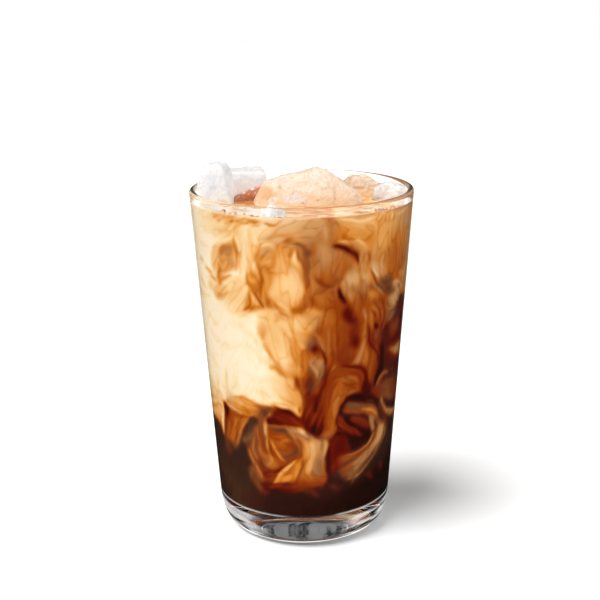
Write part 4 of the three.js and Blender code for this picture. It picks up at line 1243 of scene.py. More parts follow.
def upperLeft(c):
    # pale clouds
    c.mass([(-60, 134), (-60, 93), (-20, 93), (-20, 100), (-21, 108), (-21, 118), (-19, 134)],
           ["cream", "cream", "cream", "cream"], soft=5, flow=25)
    c.mass([(-42, 131), (-24, 132), (-20, 124), (-24, 119.5), (-32, 120.6), (-40, 122), (-46, 126)],
           ["cream", "butter", "honey"], toward=0, soft=6, flow=30)
    c.mass([(-20, 93), (-29, 94), (-36, 97), (-38, 102), (-30, 106), (-20, 106)], ["cream", "butter", "honey"],
           toward=0, soft=5, flow=40)
    c.mass(oval(-40, 113, 4, 5, 20), ["pale", "peach"], soft=4, cover=0.5)
    c.mass(oval(-37.4, 101.6, 2, 2.4, 20), ["honey"], soft=2.6, cover=0.8)
    c.ribbon([(-46, 103), (-43.4, 100.4), (-40.6, 99)], [0.4, 1.2, 0.6], ["butter", "honey"], soft=2.4, cover=0.8)
    c.ribbon([(-52, 96.8), (-47, 95.8), (-42, 96), (-37, 97)], [0.3, 0.9, 0.8, 0.2], ["honey", "butter"], soft=2.4,
             cover=0.7)
    # the cup below the funnel
    c.mass([(-35.6, 101), (-35, 98), (-33, 96.7), (-30.6, 97.7), (-28.6, 99.8), (-27.8, 102), (-30, 103.4),
            (-33, 103.4)], ["apricot", "honey", "honey"], toward=80, soft=2, flow=30)
    c.ribbon([(-34.6, 97), (-32.6, 96.5), (-30.4, 97.6), (-28.6, 99.4), (-27.4, 101.4)], [0.2, 0.5, 0.6, 0.5, 0.2],
             ["apricot", "honey"], soft=1.2, cover=0.9)
    for path in ([(-34.6, 100.2), (-32, 99.2), (-29.8, 100.6)], [(-34, 101.8), (-31.8, 100.8), (-29.6, 102)]):
        c.ribbon(path, [0.2, 0.35, 0.2], ["apricot"], soft=0.9, cover=0.6)
    # the funnel, darkest along its upper edge and at its foot
    c.mass([(-32.6, 103), (-34.4, 106), (-35.8, 110), (-35.6, 113.6), (-33.6, 116.6), (-30, 118.6), (-26, 119.6),
            (-22.4, 120.2), (-21.6, 116.6), (-22.4, 112.6), (-25.6, 109.6), (-29, 108.2), (-31, 106)],
           ["honey", "honey", "apricot"], toward=60, soft=2, flow=60)
    c.mass([(-31.4, 107.4), (-31.4, 111), (-30.4, 114.6), (-28.4, 117.4), (-25.4, 118.8), (-22.6, 118.8),
            (-22.8, 115), (-24.4, 111.4), (-28, 109.6)], ["apricot", "apricot", "tan"], toward=85, soft=2, flow=50)
    c.ribbon([(-30.2, 113.4), (-29.2, 115.6), (-27.2, 117.2), (-24.6, 118.2)], [0.4, 1.2, 1.1, 0.3],
             ["caramel", "tan"], soft=1.8, cover=0.85)
    c.ribbon([(-29, 113.6), (-27.2, 115), (-24.8, 114.8)], [0.3, 0.8, 0.3], ["tan", "coral"], soft=1.4, cover=0.5)
    c.ribbon([(-28.6, 114.6), (-27.2, 113), (-25.8, 111.4), (-25.2, 110)], [0.3, 0.5, 0.4, 0.2], ["peach", "rose"],
             soft=0.9, cover=0.85)
    c.mass(oval(-25.2, 112.4, 1.4, 2, 20), ["tan", "rose"], soft=1.6, cover=0.8)
    c.ribbon([(-31.4, 112), (-32, 109.6), (-32.2, 107), (-32.2, 104.4), (-31.8, 102)], [0.3, 0.7, 0.9, 1, 0.3],
             ["amber", "orange", "amber"], soft=1.8)
    c.ribbon([(-31.8, 103.4), (-30.4, 105.6), (-27.8, 106.9), (-24.8, 107.7)], [0.3, 0.9, 0.7, 0.2],
             ["amber", "apricot"], soft=1.6)
    c.ribbon([(-29.6, 108), (-27.2, 109.2), (-24.8, 109.4)], [0.2, 0.5, 0.2], ["apricot", "honey"], soft=1)
    c.mass(oval(-43.4, 109.4, 1.7, 1.1, -15), ["peach", "beige"], soft=2, cover=0.8)
    c.ribbon([(-41.6, 108.2), (-38.4, 107), (-36.4, 105.6), (-34.8, 104.2), (-33, 102.9)],
             [0.3, 0.9, 1, 0.9, 0.3], ["honey", "apricot", "honey"], soft=2, cover=0.95)
    # strands that hang beside it
    c.sheet([(-24, 127), (-23.8, 121), (-24, 115), (-25, 108)], [(-15.4, 128), (-15.6, 121), (-16, 114), (-17.4, 107)],
            ["butter", "honey", "peach", "honey", "apricot"], soft=3, ends=(0.15, 0.25), streak=0.2, cover=0.85)
    c.ribbon([(-23.6, 122.4), (-23, 119.6), (-22.6, 117), (-22.8, 114.4), (-23.6, 111), (-24.4, 108.4)],
             [0.3, 0.7, 0.9, 0.6, 0.4, 0.2], ["apricot", "coral", "apricot"], soft=1.6, cover=0.9)
    c.ribbon([(-20.6, 122), (-20.9, 117), (-21.8, 112.6), (-21.4, 108.6), (-19.6, 106.6)],
             [0.2, 0.4, 0.4, 0.4, 0.2], ["apricot"], soft=1.2, cover=0.7)
    c.ribbon([(-24.4, 107.6), (-22.4, 106.4), (-20, 105.4), (-18.4, 105.8)], [0.2, 0.4, 0.4, 0.2],
             ["apricot", "peach"], soft=1, cover=0.8)
    c.ribbon([(-21.8, 122.6), (-21.6, 119.4), (-20.6, 116.8)], [0.15, 0.3, 0.15], ["cream"], soft=0.8, cover=0.8)
    c.ribbon([(-18.6, 126), (-19.6, 121), (-20, 116), (-19, 111.6)], [0.3, 0.7, 0.9, 0.3], ["cream", "peach"],
             soft=1.6, cover=0.7)


def upperMiddle(c):
    # amber cloud below the strands, and its dark line
    c.mass([(-19.2, 110.4), (-16, 112), (-13.6, 110.6), (-12.8, 105), (-12.6, 99), (-13.6, 95.6), (-17, 95),
            (-20.4, 96), (-20, 100), (-18.4, 103.6), (-19, 107)], ["apricot", "amber", "amber", "honey"],
           toward=105, soft=2.2, flow=95, streak=0.18)
    c.mass(oval(-16.9, 108, 1.9, 1.7), ["honey", "amber"], soft=1.6, cover=0.9)
    c.ribbon([(-18.8, 110), (-19.3, 108), (-18.4, 105.8), (-16.6, 104.4), (-15.2, 102.6)],
             [0.2, 0.5, 0.7, 0.8, 0.3], ["orange", "caramel"], soft=1.2)
    c.mass(oval(-16.4, 100.6, 1.5, 2.6, 20), ["honey", "apricot"], soft=1.4)
    c.ribbon([(-17.6, 103.6), (-16, 101.8), (-14.8, 99.6), (-13.2, 96.6), (-11.6, 94.4)],
             [0.2, 0.4, 0.55, 0.45, 0.2], ["caramel", "rust", "copper"], soft=0.8)
    c.ribbon([(-21.4, 95.2), (-19.6, 96.3), (-18.2, 98.2), (-18.3, 100.8), (-18.6, 103)],
             [0.3, 0.6, 0.5, 0.5, 0.2], ["amber", "copper", "amber"], soft=1.1)
    c.ribbon([(-15.2, 113.6), (-14.4, 111.6), (-13.9, 109), (-13.6, 106.4), (-13.9, 103.4), (-14.2, 101),
              (-13.6, 99.6)], [0.2, 0.5, 0.5, 0.6, 0.5, 0.35, 0.2], ["orange", "copper", "sienna"], soft=0.8)
    # top of the milk
    c.mass([(-17, 134), (4, 134), (3.6, 121), (-3, 119.4), (-9.6, 120.8), (-15.6, 122.6)],
           ["tan", "rose", "peach", "butter"], toward=130, soft=4, flow=20, streak=0.15)
    c.ribbon([(-15.6, 121), (-13.8, 124), (-11, 126.4), (-7, 127)], [0.3, 1, 1, 0.4], ["butter", "honey"], soft=2,
             cover=0.8)
    c.ribbon([(-16, 127), (-15.2, 123.6), (-14.2, 120.8)], [0.3, 0.7, 0.3], ["honey", "butter"], soft=1.2, cover=0.8)
    c.ribbon([(-12.4, 121.8), (-9, 124.4), (-5, 124.4), (-2, 122.9), (1, 122)], [0.3, 0.6, 0.8, 0.7, 0.3],
             ["apricot", "caramel"], soft=1.6, cover=0.8)
    c.mass(oval(-4.6, 122.4, 1.5, 0.9, -15), ["caramel", "copper"], soft=1.4, cover=0.8)
    # round swirl
    c.mass(oval(-11.8, 116.2, 4.1, 5), ["apricot", "amber", "honey"], soft=1.6, flow=60)
    c.mass(oval(-11.4, 117.6, 2.6, 1.9, 25), ["rose", "beige"], soft=1.6, cover=0.85)
    c.ribbon([(-13.8, 119.8), (-11.4, 120.4), (-9.4, 119.6)], [0.3, 0.5, 0.3], ["peach", "honey"], soft=1)
    c.ribbon([(-12.4, 117), (-10.4, 118), (-9, 116.8)], [0.2, 0.35, 0.2], ["caramel"], soft=0.8, cover=0.7)
    c.ribbon([(-9.2, 119.4), (-8.5, 117.4), (-8.7, 115.4), (-9.6, 113.4), (-11, 112), (-12.8, 111.3)],
             [0.2, 0.55, 0.7, 0.5, 0.45, 0.2], ["copper", "caramel", "orange"], soft=1)
    c.ribbon([(-15, 115.6), (-14.6, 113.4), (-13, 112.6), (-10.8, 113.6)], [0.2, 0.5, 0.5, 0.3],
             ["apricot", "caramel"], soft=1)
    c.ribbon([(-13.4, 115), (-11.4, 113.9), (-10, 115)], [0.2, 0.35, 0.2], ["honey"], soft=0.8, cover=0.8)
    c.ribbon([(-11.8, 111.4), (-12.2, 108.4), (-12, 105.4), (-12.6, 102)], [0.3, 0.7, 0.7, 0.3],
             ["amber", "apricot"], soft=1.2)
    # pale bulb that narrows upwards
    c.mass([(-8.2, 120.6), (-4.9, 120), (-4.6, 116), (-3, 113.4), (-1.4, 111), (-0.1, 108), (1, 105.4), (1.1, 103),
            (0.4, 100.6), (-1, 97.6), (-3.4, 95), (-6.4, 96.2), (-9.6, 98.4), (-11.8, 101), (-12.2, 104.4),
            (-10.8, 108), (-9.9, 111), (-8.3, 115.4)],
           ["apricot", "honey", "honey", "apricot", "apricot"], toward=75, soft=2.6, flow=97, rim=("amber", 0.9))
    c.sheet([(-7.4, 119), (-7.6, 113), (-8.6, 107), (-9, 101)], [(-5, 119), (-4.8, 113), (-3.8, 107), (-4.6, 100)],
            ["honey", "honey", "honey"], soft=3, ends=(0.2, 0.3), cover=0.7)
    c.mass(oval(-4.6, 104.4, 3, 4), ["honey", "butter"], soft=5, cover=0.6)
    c.ribbon([(-4.4, 113.4), (-3, 109), (-2, 105), (-2.6, 101)], [0.4, 1.1, 1.2, 0.4], ["peach", "honey"], soft=1.6,
             cover=0.8)
    c.ribbon([(-10, 110.4), (-10.8, 106.4), (-11.6, 103), (-10.4, 100.2), (-8, 98.4), (-5, 96.8)],
             [0.2, 0.35, 0.4, 0.4, 0.4, 0.2], ["apricot", "amber"], soft=0.8)
    c.ribbon([(-8.6, 99.8), (-6.4, 98), (-3.8, 96.6)], [0.2, 0.35, 0.2], ["butter"], soft=0.7)
    c.mass(oval(-3.6, 118.6, 0.9, 2.4, -12), ["caramel", "apricot"], soft=1)
    # brown folds between the bulb and the tan lobe
    c.sheet([(-2.6, 121), (-1.6, 117), (-0.8, 113), (0, 109.6), (1.2, 106), (1.2, 102)],
            [(4.6, 121), (4.8, 117), (4, 112), (4, 108.4), (4.8, 105.6), (6, 102.4)],
            ["caramel", "tan", "toffee", "tan", "caramel", "tan"], soft=1.8, ends=(0.06, 0.2), streak=0.18)
    c.ribbon([(-1.8, 119.8), (-0.9, 116.4), (0.2, 113.6), (0.8, 110.4), (1.8, 107.4), (1.8, 104)],
             [0.15, 0.35, 0.4, 0.35, 0.4, 0.15], ["copper", "sienna"], soft=1)
    c.mass(oval(1.9, 117.4, 0.9, 1.3), ["toffee", "bark"], soft=1.2, cover=0.8)
    c.ribbon([(-3, 121.6), (-1, 121.2), (0.6, 120.2)], [0.2, 0.6, 0.2], ["toffee", "olive"], soft=0.9)
    c.ribbon([(0.6, 110), (1.4, 106.6), (1.3, 103.6), (0.4, 100.6), (-0.2, 98.6)], [0.2, 0.45, 0.5, 0.4, 0.2],
             ["caramel", "copper"], soft=0.8)
    c.ribbon([(2.4, 112), (3, 109), (3.2, 105), (2.8, 101)], [0.2, 0.5, 0.5, 0.2], ["caramel", "amber"], soft=0.9)
    c.sheet([(-2, 101), (-1.4, 98), (-0.4, 94.6)], [(9.6, 104.4), (11.6, 100), (14, 94.6)],
            ["apricot", "caramel", "copper", "caramel", "copper", "sienna"], soft=1.8, ends=(0.06, 0.1))
    c.ribbon([(2.4, 102.6), (5.4, 101.8), (8.6, 101.8), (11, 99.6)], [0.3, 0.7, 0.6, 0.3], ["caramel"], soft=1.2,
             cover=0.7)


def upperRight(c):
    # warm clouds behind everything
    c.mass([(3, 134), (60, 134), (60, 92), (30, 91), (14, 93), (10, 105), (4, 119)],
           ["caramel", "amber", "tan", "apricot"], toward=80, soft=5, flow=85)
    c.mass([(22, 130), (46, 131), (36, 124), (34, 118), (31, 112), (25, 110), (23.4, 116), (23, 123)],
           ["tan", "apricot", "apricot", "amber"], toward=70, soft=6, flow=75)
    c.mass([(37, 132), (60, 132), (60, 96), (46, 98), (43, 106), (43.4, 114), (40, 121)],
           ["tan", "beige", "tan"], toward=60, soft=6, flow=80)
    # brown column on the right
    c.mass([(34.4, 121), (38, 123), (43, 120), (43.6, 113), (42, 106), (38, 103), (34, 105), (32.6, 110), (33, 116)],
           ["copper", "caramel", "amber"], toward=80, soft=7, flow=95, cover=0.85)
    c.ribbon([(35, 119.4), (35.4, 115.6), (36.2, 112), (36, 108)], [0.4, 1.2, 1.5, 0.6], ["copper", "caramel"], soft=3,
             cover=0.8)
    c.ribbon([(40.4, 117), (41.6, 113), (41.2, 109)], [0.4, 0.9, 0.3], ["caramel", "tan"], soft=2.4, cover=0.7)
    c.ribbon([(33.4, 117), (32.6, 113.4), (31.6, 110), (31.8, 107)], [0.2, 0.5, 0.6, 0.2], ["tan", "caramel"], soft=1.6,
             cover=0.8)
    # tan dome at the top, with folds that follow its edge
    c.mass([(-4, 130.4), (1, 130.6), (6.6, 130.2), (10, 128.6), (11.8, 125.4), (11.2, 121.6), (8, 119.6),
            (4, 119.6), (0.4, 120.6), (-3.4, 123)], ["caramel", "tan", "rose", "honey"], toward=110, soft=2.6, flow=60)
    for path, wide, paint in (([(-3, 128.4), (0, 127.4), (2, 124.6), (1.4, 121.6)], 0.7, "honey"),
                              ([(-1, 129.6), (3, 128.6), (5.4, 125.4), (5.4, 121.6)], 0.5, "caramel"),
                              ([(2, 129.8), (6, 128), (8, 124.6), (7.6, 121)], 0.6, "rose"),
                              ([(5, 129.8), (8.6, 127.6), (9.9, 124.2), (9.4, 121)], 0.5, "caramel"),
                              ([(-3.4, 125.4), (-0.6, 124.6), (0.6, 122)], 0.5, "toffee")):
        c.ribbon(path, [0.15, wide, wide, 0.15], [paint], soft=1.4, cover=0.7)
    c.ribbon([(9.6, 129.4), (11.3, 127.4), (12, 125), (11.8, 122.4), (11, 120.4)], [0.2, 0.5, 0.65, 0.7, 0.5],
             ["orange", "copper", "caramel"], soft=1.3)
    # amber to its right, with two small dark eyes
    c.mass([(12.2, 129), (18, 129), (24, 127.4), (25.4, 122), (23.6, 117), (21, 117.4), (18.4, 120.4), (15, 121),
            (12.2, 121.2)], ["apricot", "amber", "apricot", "honey"], toward=70, soft=5, flow=-20)
    c.ribbon([(11.6, 121.6), (14, 121.9), (17, 121.8), (19.6, 120.6), (22, 117.6)], [0.4, 0.9, 1.1, 1, 0.4],
             ["amber", "honey", "apricot"], soft=1.6)
    c.ribbon([(12.6, 126), (12.6, 123.6), (14, 122.6)], [0.3, 0.7, 0.3], ["orange"], soft=1.4, cover=0.8)
    c.mass(oval(13.9, 122.9, 0.5, 0.9, 20), ["sienna"], soft=0.9, cover=0.85)
    c.ribbon([(14.8, 122), (16.4, 121.8), (17.4, 121.2)], [0.2, 0.35, 0.2], ["copper"], soft=0.8)
    # tan lobe
    c.mass([(4, 120.6), (9.6, 120.4), (13.4, 119.2), (16.6, 116.2), (17, 112.6), (15, 109), (12.4, 106),
            (10, 104.8), (7.4, 105.2), (5, 107), (3.6, 110), (3.4, 115)],
           ["toffee", "caramel", "tan", "tan"], toward=110, soft=2, flow=80)
    c.mass(oval(6.4, 116, 3, 4), ["tan", "rose"], toward=60, soft=5, cover=0.7)
    c.mass(oval(13.6, 112.4, 2.4, 5, 20), ["copper", "caramel"], toward=90, soft=4, cover=0.75)
    c.mass(oval(8, 108, 3.4, 2), ["caramel", "copper"], toward=-90, soft=3.4, cover=0.8)
    c.ribbon([(2.6, 113.4), (3.4, 110), (4.8, 107.4), (7, 105.6), (9.6, 104.8), (11.2, 105.2)],
             [0.15, 0.4, 0.55, 0.5, 0.45, 0.2], ["sienna", "rust"], soft=1)
    c.ribbon([(16.4, 112.4), (15.2, 109.6), (13.4, 107)], [0.2, 0.5, 0.3], ["sienna", "copper"], soft=1.2, cover=0.8)
    # dark arc over the lobe
    c.ribbon([(8.8, 120), (11.6, 120.1), (14, 119.1), (16, 117.6), (17.8, 115.8), (19, 113.8), (19.4, 111.6)],
             [0.3, 1.1, 1.2, 1.4, 1.3, 0.9, 0.2], ["sienna", "maroon", "maroon", "sienna"], soft=1.6)
    c.ribbon([(14.8, 117.8), (16.8, 115.8), (18, 113.4)], [0.2, 0.5, 0.2], ["rust"], soft=1.4, cover=0.8)
    # dark diagonal below it
    c.mass(oval(11.4, 106.8, 0.7, 0.9), ["sienna"], soft=1.2, cover=0.8)
    c.sheet([(11.8, 105.4), (13, 103.6), (14, 101), (15.4, 98.4), (16.8, 95.6), (18, 92.6)],
            [(10.4, 105), (11.2, 103), (12.2, 100.4), (13.4, 97.6), (14.8, 94.4), (16, 90.4)],
            ["sienna", "maroon", "night", "maroon", "garnet"], soft=1.2, ends=(0.15, 0.1))
    # tulip and the clouds round it
    c.mass([(15.6, 111), (20, 111), (23.4, 108), (24, 103), (22.6, 97), (18, 95.6), (15, 100), (13.2, 104),
            (13.6, 108)], ["copper", "caramel", "tan", "rose", "tan"], toward=85, soft=2.4, flow=100)
    c.mass(oval(18, 106.8, 3, 2.4, 10), ["rose"], soft=3, cover=0.8)
    c.ribbon([(15, 107), (14.4, 104.4), (15.2, 101.4), (16.6, 98)], [0.3, 0.6, 0.6, 0.3], ["tan", "rose", "tan"],
             soft=1.6, cover=0.9)
    c.ribbon([(16.8, 106), (17, 103.4), (17.8, 100.6)], [0.2, 0.45, 0.2], ["toffee"], soft=1.2, cover=0.7)
    c.ribbon([(20.8, 110), (20.2, 106.6), (20.6, 102.6), (21.2, 98.6)], [0.2, 0.5, 0.6, 0.3], ["caramel"], soft=1.6,
             cover=0.7)
    c.mass(oval(21.6, 97.6, 3.4, 2.6, -20), ["copper", "toffee"], soft=3, cover=0.8)
    c.ribbon([(19.8, 117), (20.6, 114), (21.6, 111)], [0.4, 1.1, 0.6], ["tan", "rose"], soft=2, cover=0.8)
    c.ribbon([(22.8, 117.6), (23.4, 114), (23.2, 110.6)], [0.2, 0.5, 0.2], ["caramel", "copper"], soft=1.6, cover=0.8)
    # pale leaf over the dark line
    c.mass([(24, 111.4), (27, 111.6), (30, 109.6), (32.4, 106.6), (31, 105), (28.4, 105.6), (26, 107.2),
            (24.6, 109.4)], ["tan", "rose", "rose"], soft=2.4, flow=130)
    c.ribbon([(24.4, 110.4), (25.2, 108.6), (26.6, 107.2), (28.4, 106.2)], [0.2, 0.4, 0.4, 0.2], ["peach"], soft=0.9)
    c.mass([(28.6, 104.6), (31, 105.6), (34, 106), (36, 104.4), (36.6, 101.4), (38.6, 98.6), (38, 95), (35.4, 94),
            (33, 98), (30.4, 101)], ["mauve", "brick", "brick"], toward=130, soft=2.6, flow=130)
    c.mass(oval(33, 104, 2, 1, 5), ["bark", "brick"], soft=1.8, cover=0.7)
    c.mass(oval(34.4, 99, 1.7, 2.6, 35), ["brick", "bark"], soft=2.6, cover=0.75)
    c.ribbon([(29.4, 104.6), (32, 104.9), (34.6, 104)], [0.2, 0.35, 0.2], ["mauve"], soft=0.9, cover=0.8)
    c.sheet([(25.4, 105), (28, 102.4), (31.6, 99), (34.4, 95), (35.4, 91)],
            [(22, 104), (25.4, 102), (29, 98.6), (31.4, 94), (32.2, 90)],
            ["tan", "mauve", "toffee", "copper"], soft=2.4, ends=(0.15, 0.1))
    c.ribbon([(24, 110), (24.9, 107.6), (26.6, 105), (28.5, 102.8), (30.4, 101), (32.2, 98.8), (34, 96.2),
              (35, 93.4)], [0.15, 0.25, 0.35, 0.4, 0.35, 0.3, 0.25, 0.1], ["bark", "rust"], soft=0.9)
    c.ribbon([(26, 104.2), (28, 101.8), (30, 99.8), (32.4, 97)], [0.15, 0.3, 0.3, 0.15], ["mauve", "tan"], soft=0.8)
    # pale clouds at the right edge
    c.mass([(36.4, 102.4), (39, 102.6), (43, 101), (43.6, 97.6), (39.6, 96.6), (36.8, 98.6)],
           ["mauve", "beige", "mauve"], toward=40, soft=2.4, flow=150)
    c.ribbon([(35.6, 102), (38.6, 102.4), (41, 101.2), (43, 99.4), (44, 97)], [0.2, 0.4, 0.45, 0.35, 0.2],
             ["peach", "beige"], soft=1.1)
    c.ribbon([(38, 99.8), (40.4, 99.2), (42, 97.6)], [0.2, 0.4, 0.2], ["beige"], soft=1, cover=0.8)
    c.mass(oval(41.4, 99.8, 0.9, 0.6, -40), ["brick"], soft=1.4, cover=0.7)
    c.ribbon([(39, 105.4), (43.6, 104.2), (48, 103.6)], [0.2, 0.7, 0.3], ["rose"], soft=1.6, cover=0.7)
    # meniscus
    c.ribbon([(8, 130), (12, 129.2), (17, 128.4), (22, 128.1), (27, 129.2), (33, 129.3), (38, 128.2), (46, 128.8)],
             [0.15, 0.3, 0.35, 0.35, 0.3, 0.3, 0.3, 0.25], ["butter", "peach"], soft=0.8)
    c.ribbon([(5, 130.6), (8, 130), (10, 129)], [0.2, 0.4, 0.2], ["copper", "rust"], soft=0.8)
    c.mass(oval(30, 126.8, 4.4, 1), ["apricot"], soft=1.6, cover=0.8)




def foamEdge(c):
    # bubbles along the liquid line: each a light middle in a brown ring
    c.ribbon([(-34, 129.6), (-28, 129.2), (-20, 129.4), (-14, 129.6)], [0.3, 0.6, 0.6, 0.4], ["apricot", "rose"],
             soft=1.2, cover=0.5)
    c.ribbon([(-18, 129), (-15.6, 128.6), (-13.4, 129)], [0.3, 0.9, 0.4], ["copper", "caramel"], soft=0.8, cover=0.7)
    c.ribbon([(-12.4, 129.4), (-10.4, 127.9), (-8.4, 127.7), (-6.9, 128.9), (-6.4, 130)],
             [0.2, 0.4, 0.4, 0.3, 0.2], ["amber", "caramel"], soft=0.7)
    for s, z, size in ((-31.8, 128.6, 0.7), (-29.8, 127.8, 1), (-27.2, 128.8, 0.7), (-26.2, 127.1, 0.7), (-24, 128.5, 1),
                       (-22, 128.8, 0.9), (-20.4, 127.8, 0.7), (-18.6, 128.3, 1.2), (-16.2, 127.6, 0.8),
                       (-14.4, 128, 0.8), (25, 128.2, 0.8), (26.9, 127.5, 1.2), (30.8, 127.7, 1.3), (33.4, 127.9, 1.2),
                       (35.6, 128.4, 0.8)):
        c.mass(oval(s, z, size * 1.2, size * 1.2), ["caramel", "amber"], soft=0.4, cover=0.6)
        c.mass(oval(s - size * 0.1, z + size * 0.1, size * 0.6, size * 0.6), ["butter", "honey"], toward=-60, soft=0.4)


# in the order in which they cover one another
strokes = (creamMass, upperRight, upperLeft, upperMiddle, midRight, curlDarkness, archedRibbon, midLeft, lowerLeft,
           curlFolds, foamEdge)


# the sides are out of the front's sight: where each of these strokes is moved to, round the glass and up
sideStrokes = ((archedRibbon, 44, -3, 1), (upperMiddle, 68, -4, 1), (midRight, 44, -8, 1), (lowerLeft, -38, 3, 1),
               (upperMiddle, -54, 2, -1), (midLeft, -62, 2, -1), (midLeft, 78, -6, 1))


def paintDrink():
    across = 36 * math.pi
    columns = 904
    canvas = Canvas((-across, 8), (across, 132), 2 * across / columns, closed=True)

    def paint(chosen, turn, rise, sign):
        canvas.place = lambda p: (turn + sign * p[0], p[1] + rise)
        for stroke in chosen:
            stroke(canvas)

    # the back first: the same strokes seen in a mirror and a little lower
    ground(canvas)
    for turn in (-across, across):
        paint(strokes, turn, -5, -1)
    for stroke, turn, rise, sign in sideStrokes:
        paint([stroke], turn, rise, sign)
    back = canvas.mix.copy(), canvas.flow.copy()
    ground(canvas)
    paint(strokes, 0, 0, 1)
    angle = canvas.around / 36
    edge = Noise(41).rough(3 * np.cos(angle), 3 * np.sin(angle), canvas.up * 0.06)
    share = smooth(49, 63, np.abs(canvas.around) + 5 * edge)[..., None]
    canvas.mix = canvas.mix * (1 - share) + back[0] * share
    canvas.flow = canvas.flow * (1 - share) + back[1] * share
    canvas.finish()
    print("drink is painted")
    return canvas


# Drink
# Patches on top of the drink, foam and, in the near-white ones, in part a painted highlight: where (x, y), how wide and
# deep, the tone and its strength.
topFoamAndHighlights = [
    ((-22, -29), (12, 5), (255, 246, 236), 0.85), ((-30, -20), (5, 9), (255, 244, 230), 0.7),
    ((-14, -36), (6, 1.6), (232, 178, 122), 0.7), ((-7, -31), (4, 2.4), (244, 214, 180), 0.7),
    ((-20, -35), (7, 1), (216, 150, 92), 0.6), ((5, -31), (6, 1.2), (166, 84, 44), 0.8),
    ((3, -35), (5, 1.6), (222, 168, 116), 0.6), ((15, -29), (5, 3), (250, 216, 190), 0.8),
    ((19, -32), (6, 1), (196, 128, 70), 0.7), ((27, -24), (7, 2), (255, 238, 210), 0.85),
    ((31, -18), (3, 6), (226, 168, 108), 0.6), ((24, -28), (6, 1), (206, 140, 76), 0.7),
    ((35, -10), (3, 7), (250, 226, 196), 0.6),
]


def wallAngles():
    angles, angle = [], -180.0
    while angle < 180 - 1e-6:
        angles.append(angle)
        inFront = abs(angle) < drinkShape["frontHalf"]
        angle += drinkShape["frontStep"] if inFront else drinkShape["backStep"]
    if 180 - angles[-1] < 0.5 * drinkShape["frontStep"]:
        angles.pop()
    return np.radians(angles)


def drinkOutline():
    reach, level = drinkShape["reach"], drinkShape["level"]
    corner = glassShape["floorCorner"] + reach
    cornerHeight = glassShape["floorHeight"] + glassShape["floorCorner"]
    centre = innerRadius(cornerHeight) + reach - corner
    edge = level + drinkShape["meniscusRise"]
    points = [(0, cornerHeight - corner)]
    points += straight(points[0], (centre, cornerHeight - corner), 8)
    points += arc(centre, cornerHeight, corner, -90, 0, 8)
    rows = int((edge - cornerHeight) / drinkShape["rowHeight"])
    points += straight((centre + corner, cornerHeight), (innerRadius(edge) + reach, edge), rows)
    points.append((innerRadius(edge) + reach, edge))
    rings = int(innerRadius(level) / drinkShape["ringWidth"])
    for k in range(rings):
        inward = (innerRadius(level) - 0.4) * k / rings
        rise = drinkShape["meniscusRise"] * math.exp(-inward / drinkShape["meniscusWidth"] * 2)
        points.append((innerRadius(level) - 0.4 - inward, level + rise))
    points.append((0, level))
    return points


def biteBy(piece, blocks):
    # The pockets that the ice fills, each a little smaller than the lump in it.
    for block in blocks:
        bite = piece.modifiers.new("pocket", "BOOLEAN")
        bite.operation = "DIFFERENCE"
        bite.solver = "MANIFOLD"
        bite.object = block
    bpy.context.view_layer.update()
    whole = piece.evaluated_get(bpy.context.evaluated_depsgraph_get())
    mesh = bpy.data.meshes.new_from_object(whole)
    piece.modifiers.clear()
    piece.data = mesh


def pointsOf(mesh):
    flat = np.zeros(len(mesh.vertices) * 3)
    mesh.vertices.foreach_get("co", flat)
    return flat.reshape(-1, 3)


def setColours(mesh, name, shades):
    layer = mesh.attributes.new(name, "FLOAT_COLOR", "POINT")
    full = np.concatenate([shades, np.ones((len(shades), 1))], 1)
    layer.data.foreach_set("color", full.ravel())


def topColours(x, y):
    # Foam and coffee on the free surface between the lumps of ice, in streaks that run round the glass.
    swirl = Noise(21)
    around, radius = np.degrees(np.arctan2(x, -y)), np.hypot(x, y)
    bend = swirl.rough(x * 0.06, y * 0.06, 0 * x)
    streak = swirl.rough(around * 0.045 + bend, radius * 0.3 + bend, 3 + 0 * x)
    milk = np.interp(0.5 + 0.8 * streak, [0, 0.5, 1], drinkShape["topMilk"])
    # paler towards the front left: foam, and in part a painted reflection of the bright room on the wet top
    milk = np.clip(milk + 0.1 * smooth(10, -25, x) * smooth(0, -20, y), 0, 1)
    shades = mixedColours(np.stack([milk, 0.3 + 0 * milk], -1))
    return patchTones(shades, x + 2 * bend, y + 1.2 * swirl.at(x * 0.3, y * 0.3, 7 + 0 * x), topFoamAndHighlights)


def drinkFinish():
    finish = Finish("milk_and_coffee")
    painted = finish.node("ShaderNodeAttribute", {"attribute_name": "swirl"}, output="Color")
    cloud = finish.noise(60, 3, 0.5, 0.8, stretch=(1, 1, 0.55)) * 0.05 + 0.8
    tone = finish.node("ShaderNodeVectorMath", {"operation": "SCALE"}, {0: painted, "Scale": cloud})
    height = finish.node("ShaderNodeSeparateXYZ", None, {0: finish.place()}, output="Z")
    wet = height.between((drinkShape["level"] - 0.4) * mm, drinkShape["level"] * mm)
    # painted light: the underside glows with a painted tone for the light that the thick base gathers, and not the
    # coffee's own colour
    below = 1 - height.between((glassShape["floorHeight"] + 0.2) * mm, (glassShape["floorHeight"] + 1.2) * mm)
    return finish.surface(finish.node("ShaderNodeBsdfPrincipled", None, {
        "Base Color": finish.blend(below, tone, (0, 0, 0, 1)),
        "Emission Color": finish.blend(below, (0, 0, 0, 1), painted),
        "Emission Strength": 1.0,
        "Roughness": cloud * 0.4,
        "IOR": 1.34,
        "Specular IOR Level": 0.05,
        "Coat Weight": wet,
        "Coat Roughness": 0.08,
        "Coat IOR": 1.34,
    }))


